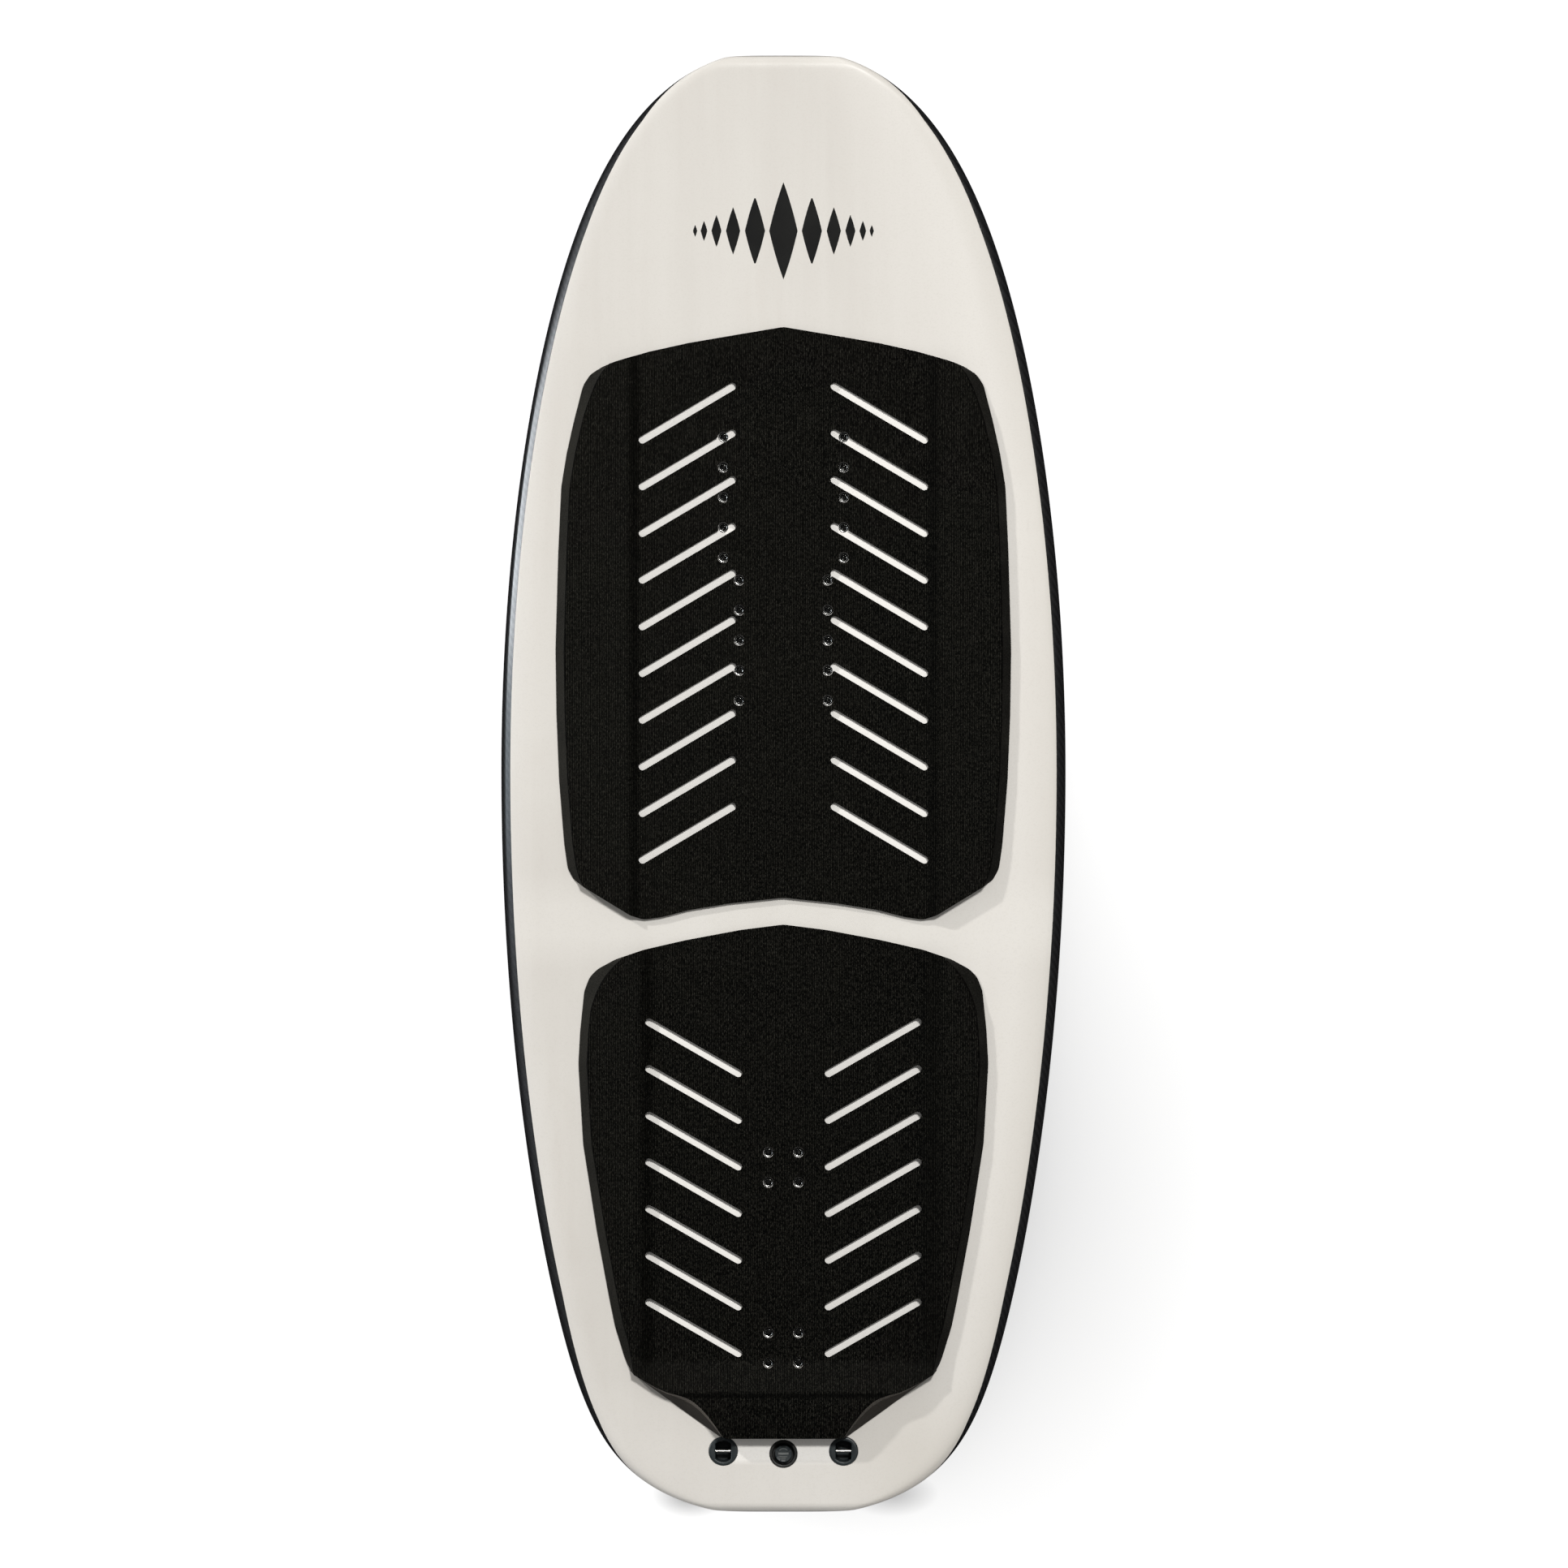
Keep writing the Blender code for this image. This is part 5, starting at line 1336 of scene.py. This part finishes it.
def deck_white():
    look = Finish("satin white deck lacquer", (0.712, 0.688, 0.640), roughness=0.42,
                  specular=0.30)
    x, y, z = look.axes(look.place)
    streaks = look.noise(detail=4.0, rough=0.6, stretch=(34.0, 1.6, 1.0))
    blotches = look.noise(3.2, rough=0.5, distortion=0.6)
    tone = (streaks * 0.40 + blotches * 0.60).ramp(over=(0.36, 0.64), soft=True)
    base = tone.fade((0.668, 0.640, 0.596), (0.716, 0.692, 0.648))
    smudges = look.noise(9.0, detail=5.0, rough=0.62, stretch=(1.0, 0.45, 1.0), distortion=1.2)
    smudges = smudges.ramp(over=(0.56, 0.80), to=(0.0, 0.34), soft=True)
    base = base.tint((0.640, 0.596, 0.545), by=smudges)
    specks = look.cells(210.0).ramp(over=(0.035, 0.075), to=(0.20, 0.0))
    base = base.tint((0.46, 0.43, 0.39), by=specks)
    # painted light and shade: lighter beside the starboard pad edge, painted shade towards the
    # starboard rail, painted light along the port rail and over the tail
    across = look.add("ShaderNodeAttribute", output="Fac", attribute_name="across")
    for signal, over, most, colour in (
        (across, (0.25, 0.80), 0.62, (0.800, 0.775, 0.730)),
        (across, (0.84, 1.0), 0.72, (0.620, 0.588, 0.535)),
        (across, (-0.88, -1.0), 0.60, (0.800, 0.780, 0.745)),
        (y, (-0.50, -0.56), 0.42, (0.790, 0.765, 0.722)),
    ):
        base = base.tint(colour, by=signal.ramp(over=over, to=(0.0, most)))
    # painted shade: the starboard side of the tail is darker, as under the kick's shadow
    painted_tail_shade = y.ramp(over=(-0.50, -0.56), to=(0.0, 0.50)) * x.ramp(over=(0.03, 0.11))
    base = base.tint((0.620, 0.585, 0.525), by=painted_tail_shade)
    # painted light: the deck between the pads is lighter
    painted_gap_light = abs(y + 0.116).ramp(over=(0.012, 0.040), to=(0.45, 0.0))
    base = base.tint((0.800, 0.778, 0.732), by=painted_gap_light)
    # painted light: the deck seen through the slots is brightened against the shade of the slot
    # walls
    base = base.tint((0.960, 0.940, 0.900), by=slot_cover(x, y))
    # painted light: the strip between the leash cups, under the kick's tail end, is brightened
    # to lift the kick's shadow there
    strip = y.ramp(over=(-0.5750, -0.5700), to=(0.0, 0.85))
    strip = strip * y.ramp(over=(-0.540, -0.530), to=(1.0, 0.0))
    strip = strip * abs(x).ramp(over=(0.040, 0.052), to=(1.0, 0.0))
    base = base.tint((0.940, 0.920, 0.880), by=strip)
    grain = look.noise(620.0, detail=2.0, rough=0.6).ramp(over=(0.32, 0.50), to=(0.14, 0.0))
    base = base.tint((0.56, 0.53, 0.48), by=grain)
    look.set("Base Color", base.tint((0.05, 0.046, 0.042), by=end_line(y, z)))
    look.set("Roughness", look.noise(42.0).ramp(to=(0.36, 0.50)))
    waves = look.bump(look.noise(26.0, detail=2.0), strength=0.05, distance=0.0006)
    peel = look.noise(520.0, detail=2.0, rough=0.5)
    look.set("Normal", look.bump(peel, strength=0.10, distance=0.00012, under=waves))
    look.set("Coat Weight", 0.10)
    look.set("Coat Roughness", 0.30)
    return look.mat


TOW = 2.1 * MM  # width of one tow of the cloth


def carbon():
    look = Finish("clear coated twill carbon", (0.012, 0.012, 0.013), roughness=0.34,
                  specular=0.35)
    x, y, z = look.axes(look.place)
    # the cloth wraps the rail, so height stands in for width where the side is steep
    wobble = (look.noise(14.0, detail=2.0) - 0.5) * 1.6
    cross = (x - z * 0.9 * x.apply("SIGN")) / TOW + wobble
    along = y / TOW + wobble
    step = ((cross.apply("FLOOR") + along.apply("FLOOR")) / 4.0).apply("FRACT")
    on_top = step.apply("LESS_THAN", 0.5)
    crown_cross, crown_along = (
        (tows.apply("FRACT") * math.pi).apply("SINE") for tows in (cross, along)
    )
    height = crown_cross * on_top + crown_along * (1.0 - on_top)
    strand = look.noise(detail=2.0, rough=0.5, stretch=(2600.0, 2600.0, 2600.0))
    warp = strand.fade((0.010, 0.010, 0.011), (0.022, 0.022, 0.024))
    weft = strand.fade((0.003, 0.003, 0.003), (0.009, 0.009, 0.010))
    valleys = height.ramp(over=(0.0, 0.35), to=(0.75, 0.0))
    look.set("Base Color", on_top.fade(weft, warp).tint((0.002, 0.002, 0.002), by=valleys))
    look.set("Roughness", (on_top * 1.0).ramp(over=(0.0, 1.0), to=(0.48, 0.34)))
    look.set("Normal", look.bump(height, strength=0.35, distance=0.00018))
    look.set("Coat Weight", 1.0)
    look.set("Coat Roughness", look.noise(30.0).ramp(to=(0.13, 0.17)))
    ripple = look.noise(160.0, detail=2.0)
    look.set("Coat Normal", look.bump(ripple, strength=0.04, distance=0.0002))
    return look.mat


def painted_crown_sheen(look, base, x):
    """Painted highlights on the rib crowns, in short dashes along the ribs, and painted light on
    the wings.
    """
    dashes = look.noise(rough=0.72, stretch=(1250.0, 420.0, 420.0))
    base = base.tint((0.080, 0.077, 0.063), by=dashes.ramp(over=(0.50, 0.68), to=(0.0, 0.46)))
    crown_sheen = look.noise(detail=2.0, rough=0.6, stretch=(760.0, 330.0, 330.0))
    base = base.tint((0.021, 0.020, 0.0165), by=crown_sheen.ramp(over=(0.50, 0.66), to=(0.0, 0.62)))
    wings = abs(x).ramp(over=(0.110, 0.140), soft=True)
    return base.tint((0.0014, 0.0014, 0.0012), by=wings, blend="ADD")


PAD_JOIN = (-0.131, -0.129)  # y where the front pad's folds give way to the rear pad's
# painted shade along the folds: low x, high x, whether the fold is on the front pad
PAINTED_FOLD_SHADE = (
    (-0.1295, -0.1235, True), (0.1235, 0.1300, True),
    (-0.1195, -0.1110, False), (0.1195, 0.1310, False),
)


def painted_rib_shading(base, x, y):
    """Painted shade along the folds, in the kick's crease and in the grooves; painted light on
    the kick's ramp.
    """
    for low, high, front in PAINTED_FOLD_SHADE:
        middle, half = (low + high) / 2, (high - low) / 2
        near = abs(x - middle).ramp(over=(half * 0.2, half * 2.6), to=(0.42, 0.0), soft=True)
        on_pad = y.ramp(over=PAD_JOIN, to=(0.0, 1.0) if front else (1.0, 0.0))
        base = base.tint((0.0022, 0.0022, 0.0018), by=near * on_pad)
    kick_ramp = y.ramp(over=(-0.5135, -0.5115)) * y.ramp(over=(-0.489, -0.484), to=(1.0, 0.0))
    base = base.tint((0.034, 0.033, 0.029), by=kick_ramp * 0.14)
    crease = abs(y + 0.5155).ramp(over=(0.0010, 0.0026), to=(0.75, 0.0))
    base = base.tint((0.0012, 0.0012, 0.0010), by=crease)
    off_crown = abs((x / (RIB_PITCH * MM) + 0.5).apply("FRACT") - 0.5)
    grooves = off_crown.ramp(over=(0.22, 0.34), to=(0.0, 0.92), soft=True)
    return base.tint((0.0010, 0.0010, 0.0008), by=grooves)


def eva(name, dark, light, roughness, specular, grain=0.35, grooved=False):
    """Closed-cell foam: tiny cells, a soft mottling and a dry, matt surface."""
    look = Finish(name, light, roughness, specular=specular)
    x, y, _ = look.axes(look.place)
    mottle = look.noise(16.0, detail=4.0, rough=0.6)
    fine = look.noise(900.0, rough=0.6)
    # painted light: lighter to port, towards the lamps; on the grooved foam also darker towards
    # the tail
    drift_aft = 0.30 if grooved else 0.0
    drift = x * -0.40 + (y + -0.05).apply("MINIMUM", 0.0) * drift_aft
    tone = mottle * 0.45 + fine * 0.55 + drift
    base = tone.ramp(over=(0.38, 0.62)).fade(dark, light)
    if grooved:
        base = painted_rib_shading(painted_crown_sheen(look, base, x), x, y)
    look.set("Base Color", base)
    look.set("Roughness", mottle.ramp(to=(roughness - 0.06, roughness + 0.06)))
    height = look.cells(2300.0) + fine * 0.6
    look.set("Normal", look.bump(height, strength=grain, distance=0.00010))
    return look.mat


def plastic(name, dark, light, roughness, specular=0.5, grain=0.12, grain_scale=1400.0,
            wear=None):
    """Moulded plastic; roughness is (low, high) and wear is the colour of rubbed edges."""
    look = Finish(name, light, roughness[1], specular=specular)
    cloud = look.noise(60.0, detail=4.0, rough=0.6)
    flow = look.noise(rough=0.6, stretch=(260.0, 900.0, 260.0))
    base = (cloud * 0.6 + flow * 0.4).ramp(over=(0.35, 0.65)).fade(dark, light)
    if wear:
        edge = look.add("ShaderNodeNewGeometry", output="Pointiness")
        base = base.tint(wear, by=edge.ramp(over=(0.505, 0.56), to=(0.0, 0.6)))
    look.set("Base Color", base)
    look.set("Roughness", look.noise(240.0, detail=4.0, rough=0.65).ramp(to=roughness))
    height = look.noise(grain_scale, detail=2.0)
    look.set("Normal", look.bump(height, strength=grain, distance=0.00006))
    return look.mat


TURNING_PITCH = 0.00016


def metal(name, dark, light, roughness, stretch=None, metallic=1.0):
    """Metal with brushed lines, or with turned rings about Z where no stretch is given."""
    look = Finish(name, light, roughness[1], metallic=metallic)
    if stretch:
        line = height = look.noise(detail=4.0, rough=0.7, stretch=stretch)
    else:
        x, y, _ = look.axes(look.place)
        radius = (x * x + y * y).apply("SQRT")
        rings = (radius * (2 * math.pi / TURNING_PITCH)).apply("SINE")
        line = rings * 0.25 + look.noise(2600.0)
        height = rings * 0.5 + 0.5
    look.set("Base Color", line.ramp().fade(dark, light))
    look.set("Roughness", line.ramp(to=roughness))
    look.set("Normal", look.bump(height, strength=0.10, distance=0.00003))
    return look.mat


def foam(name, dark, light, bead):
    look = Finish(name, light, roughness=0.9, specular=0.2)
    cell = look.cells(bead)
    look.set("Base Color", cell.ramp(over=(0.0, 0.6)).fade(light, dark))
    look.set("Normal", look.bump(1.0 - cell, strength=0.4, distance=0.0004))
    look.set("Roughness", look.noise(120.0).ramp(to=(0.82, 0.95)))
    return look.mat


def deck_print():
    look = Finish("black deck print", (0.012, 0.011, 0.011), roughness=0.55, specular=0.12)
    wear = look.noise(700.0, rough=0.7)
    base = look.noise(26.0).ramp().fade((0.005, 0.005, 0.005), (0.010, 0.010, 0.009))
    worn = wear.ramp(over=(0.74, 0.84), to=(0.0, 0.16))
    look.set("Base Color", base.tint((0.20, 0.19, 0.18), by=worn))
    look.set("Roughness", wear.ramp(to=(0.5, 0.62)))
    height = look.noise(520.0, detail=2.0)
    look.set("Normal", look.bump(height, strength=0.08, distance=0.0001))
    return look.mat


def finishes():
    """Every material by its key. The two colours of each are its dark and its light."""
    return {
        "deck": deck_white(),
        "carbon": carbon(),
        "eva": eva(
            "grooved black EVA", (0.0010, 0.0010, 0.0008), (0.0056, 0.0054, 0.0043),
            roughness=0.80, specular=0.03, grooved=True),
        "eva_smooth": eva(
            "smooth black EVA bevel", (0.0048, 0.0046, 0.0038), (0.0235, 0.0225, 0.0190),
            roughness=0.78, specular=0.06, grain=0.2),
        "eva_crease": eva(
            "shaded groove beside the bevel", (0.0010, 0.0010, 0.0008),
            (0.0022, 0.0021, 0.0018), roughness=0.85, specular=0.04, grain=0.2),
        "eva_side": eva(
            "grey EVA layer", (0.052, 0.046, 0.040), (0.135, 0.121, 0.105),
            roughness=0.78, specular=0.2, grain=0.25),
        "eva_cut": eva(
            "cut EVA edge", (0.010, 0.008, 0.006), (0.017, 0.014, 0.011),
            roughness=0.86, specular=0.12, grain=0.5),
        "eva_grey": eva(
            "plain grey EVA", (0.026, 0.022, 0.018), (0.038, 0.033, 0.028),
            roughness=0.80, specular=0.2, grain=0.3),
        "insert": metal(
            "machined insert metal", (0.34, 0.35, 0.34), (0.52, 0.52, 0.50),
            roughness=(0.16, 0.26)),
        # partly painted shade: a dark gunmetal face, made darker still to stand for the shade
        # inside the pad holes
        "insert_face": metal(
            "insert face, dark with painted shade", (0.030, 0.033, 0.034), (0.060, 0.065, 0.067),
            roughness=(0.12, 0.17)),
        # painted reflection: half metallic with a light base, so the nut's diffuse colour stands
        # in for the light its steel would reflect
        "steel": metal(
            "tumbled stainless nut", (0.62, 0.61, 0.59), (0.80, 0.79, 0.76),
            roughness=(0.30, 0.48), stretch=(900.0, 120.0, 900.0), metallic=0.55),
        "pin": metal(
            "bright stainless pin", (0.80, 0.78, 0.74), (0.90, 0.88, 0.84),
            roughness=(0.27, 0.33), stretch=(60.0, 900.0, 900.0)),
        "track": plastic(
            "glass filled nylon track", (0.008, 0.008, 0.008), (0.020, 0.020, 0.019),
            roughness=(0.42, 0.62), grain=0.3, grain_scale=900.0, wear=(0.05, 0.05, 0.05)),
        "cup": plastic(
            "slate cup plastic", (0.012, 0.017, 0.019), (0.022, 0.029, 0.032),
            roughness=(0.30, 0.44), specular=0.35, grain=0.1, wear=(0.05, 0.06, 0.062)),
        "vent": plastic(
            "vent housing plastic", (0.003, 0.003, 0.003), (0.008, 0.008, 0.008),
            roughness=(0.36, 0.56), specular=0.35, grain=0.2, wear=(0.035, 0.034, 0.03)),
        "plug": plastic(
            "slate plug plastic", (0.014, 0.020, 0.022), (0.024, 0.031, 0.034),
            roughness=(0.36, 0.52), specular=0.4, grain=0.25),
        "plug_mark": plastic(
            "raised plug marks", (0.10, 0.11, 0.11), (0.17, 0.18, 0.175),
            roughness=(0.30, 0.45), grain=0.2),
        "rubber": plastic(
            "seal rubber", (0.006, 0.006, 0.006), (0.014, 0.014, 0.014),
            roughness=(0.5, 0.7), specular=0.3, grain=0.2),
        "membrane": foam(
            "felted vent membrane", (0.62, 0.61, 0.58), (0.85, 0.84, 0.81), bead=5200.0),
        "foam": foam("shaped core foam", (0.62, 0.60, 0.53), (0.82, 0.80, 0.72), bead=420.0),
        "block": foam(
            "high density block foam", (0.46, 0.36, 0.18), (0.64, 0.52, 0.30), bead=1500.0),
        "print": deck_print(),
    }


HIDDEN = {
    "foam_core": "foam", "insert_block_front_starboard": "block",
    "insert_block_front_port": "block", "insert_block_tail": "block", "mast_block": "block",
}


def finish_hidden(mats):
    """The core and its blocks stay as the CAD has them, inside the skins."""
    for node, key in HIDDEN.items():
        data = frame["nodes"][node].data
        if not data.materials:
            data.materials.append(mats[key])
        for k in range(len(data.materials)):
            data.materials[k] = mats[key]


# ================================================================== floor, light, camera
FLOOR_REACH, FLOOR_Z, FLOOR_GLOW = 12.0, -0.0015, 0.95
# painted shadows on the table, as dimmed ovals: middle x, middle y, reach in x, reach in y,
# depth
FLOOR_PAINTED_SHADOW = (
    (0.1576, -0.345, 0.352, 0.494, 0.430), (0.092, -0.602, 0.040, 0.020, 0.46),
    (-0.080, -0.604, 0.034, 0.020, 0.70), (-0.150, -0.500, 0.085, 0.160, 0.09),
)
CAMERA_DISTANCE, VIEW_PLANE, VIEW_WIDTH = 12.0, 0.050, 1.325352
CAMERA_X, CAMERA_Y, SENSOR_WIDTH = 0.00048, 0.00034, 36.0


def floor_finish():
    look = Finish("lit white studio table", (0.90, 0.90, 0.90), roughness=0.95, specular=0.0)
    tone = look.noise(3.0, detail=2.0).ramp()
    look.set("Base Color", tone.fade((0.895, 0.895, 0.895), (0.905, 0.905, 0.905)))
    look.set("Emission Color", (1.0, 1.0, 1.0, 1.0))
    # painted shadows: the table's glow is dimmed in ovals around the tail
    x, y, _ = look.axes(look.place)
    shadow = 0.0
    for middle_x, middle_y, reach_x, reach_y, depth in FLOOR_PAINTED_SHADOW:
        off_x, off_y = (x - middle_x) / reach_x, (y - middle_y) / reach_y
        radius = (off_x * off_x + off_y * off_y).apply("SQRT")
        shadow = shadow + radius.ramp(over=(0.0, 1.0), to=(depth, 0.0))
    look.set("Emission Strength", FLOOR_GLOW * (1.0 - shadow))
    # seen from below the floor is clear, so the underside can be looked at
    blend = look.add("ShaderNodeMixShader", {
        0: look.add("ShaderNodeNewGeometry", output="Backfacing"),
        1: Signal(look, look.shader.outputs[0]),
        2: look.add("ShaderNodeBsdfTransparent"),
    })
    look.feed(look.tree.nodes["Material Output"].inputs["Surface"], blend)
    return look.mat


def build_floor():
    mesh = bpy.data.meshes.new("studio_floor")
    corners = ((-1, -1), (1, -1), (1, 1), (-1, 1))
    points = [(x * FLOOR_REACH, y * FLOOR_REACH, FLOOR_Z) for x, y in corners]
    mesh.from_pydata(points, [], [(0, 1, 2, 3)])
    floor = bpy.data.objects.new("studio_floor", mesh)
    bpy.context.scene.collection.objects.link(floor)
    floor.visible_glossy = False
    mesh.materials.append(floor_finish())
    return floor


def panel(name, place, aim, size, power, colour):
    light = bpy.data.lights.new(name, "AREA")
    light.shape = "RECTANGLE"
    light.size, light.size_y = size
    light.energy = power
    light.color = colour
    light.spread = math.pi
    obj = bpy.data.objects.new(name, light)
    obj.location = place
    obj.rotation_euler = (Vector(aim) - Vector(place)).to_track_quat("-Z", "Y").to_euler()
    bpy.context.scene.collection.objects.link(obj)
    return obj


def build_lights(floor):
    key = panel("key_light", place=(1.04, 2.0, 6.1), aim=(0.0, 0.0, 0.0), size=(0.7, 0.7),
                power=262.0, colour=(1.0, 0.99, 0.975))
    high = panel("high_left_light", place=(-4.5, 3.8, 3.6), aim=(0.0, 0.0, 0.0),
                 size=(0.32, 0.32), power=172.0, colour=(1.0, 0.985, 0.965))
    rail = panel("rail_light", place=(-2.6, 0.475, 1.75), aim=(0.0, 0.475, 1.74),
                 size=(0.46, 3.4), power=66.0, colour=(0.90, 0.95, 1.0))
    long_rail = panel("long_rail_light", place=(-2.6, 0.30, 1.75), aim=(0.0, 0.30, 1.74),
                      size=(0.90, 3.4), power=20.0, colour=(0.72, 0.86, 1.0))
    high.visible_glossy = False
    rail.visible_diffuse = False
    long_rail.visible_diffuse = False
    # the lamps light the board and leave the table, which glows by itself
    table_top = bpy.data.collections.new("table_top")
    table_top.objects.link(floor)
    for lamp in (key, high, rail, long_rail):
        lamp.light_linking.receiver_collection = table_top
    table_top.collection_objects[0].light_linking.link_state = "EXCLUDE"

    # overhead glow that only the leash pins pick up
    glint = panel("metal_glint_light", place=(0.1, 1.1, 5.0), aim=(0.0, -0.2, 0.0),
                  size=(2.4, 0.8), power=34.0, colour=(1.0, 0.97, 0.93))
    metals = bpy.data.collections.new("bare_metal")
    for obj in bpy.data.objects:
        if obj.name.startswith("leash_pin_bar"):
            metals.objects.link(obj)
    glint.light_linking.receiver_collection = metals


def build_world():
    world = bpy.data.worlds.new("studio")
    bpy.context.scene.world = world
    world.use_nodes = True
    world.node_tree.nodes.clear()
    nodes = Nodes(world.node_tree)
    _, _, height = nodes.axes(nodes.add("ShaderNodeTexCoord", output="Generated"))
    glow = height.ramp(over=(-0.1, 1.0), to=(0.10, 0.34))
    path = nodes.make("ShaderNodeLightPath").outputs
    glossy, camera = (Signal(nodes, path[f"Is {ray} Ray"]) for ray in ("Glossy", "Camera"))
    # the camera sees plain white past the floor, and gloss sees a dim room
    dim = nodes.add("ShaderNodeMath", {0: glossy, 1: -0.93, 2: 1.0}, operation="MULTIPLY_ADD")
    level = nodes.add("ShaderNodeMath", {0: glow, 1: dim}, operation="MULTIPLY")
    seen = nodes.add("ShaderNodeMix", {0: camera, 2: level, 3: 0.92}, data_type="FLOAT")
    background = nodes.add(
        "ShaderNodeBackground", {"Color": (1.0, 0.995, 0.985, 1.0), "Strength": seen})
    nodes.make("ShaderNodeOutputWorld", {0: background})


def build_camera():
    """Straight down on the board, with the nose up."""
    data = bpy.data.cameras.new("top_view")
    data.sensor_width = SENSOR_WIDTH
    data.lens = SENSOR_WIDTH * CAMERA_DISTANCE / VIEW_WIDTH
    data.clip_start, data.clip_end = 0.1, 60.0
    camera = bpy.data.objects.new("top_view", data)
    camera.location = (CAMERA_X, CAMERA_Y, VIEW_PLANE + CAMERA_DISTANCE)
    camera.rotation_euler = (0.0, 0.0, 0.0)
    scene = bpy.context.scene
    scene.collection.objects.link(camera)
    scene.camera = camera
    scene.view_settings.view_transform = "Standard"
    scene.view_settings.look = "None"
    scene.view_settings.exposure = 0.0
    scene.view_settings.gamma = 1.0


# ================================================================== all of it
def main():
    for obj in list(bpy.data.objects):
        if obj.type in ("LIGHT", "CAMERA") or obj.name == "Cube":
            bpy.data.objects.remove(obj, do_unlink=True)
    mats = finishes()
    build_deck(mats)
    build_bottom(mats)
    build_pads(mats)
    build_inserts(mats)
    build_tracks(mats)
    build_leash_plugs(mats)
    build_vent_housing(mats)
    build_vent_plug(mats)
    build_vent_seals(mats)
    build_graphic(mats)
    finish_hidden(mats)
    build_lights(build_floor())
    build_world()
    build_camera()


main()
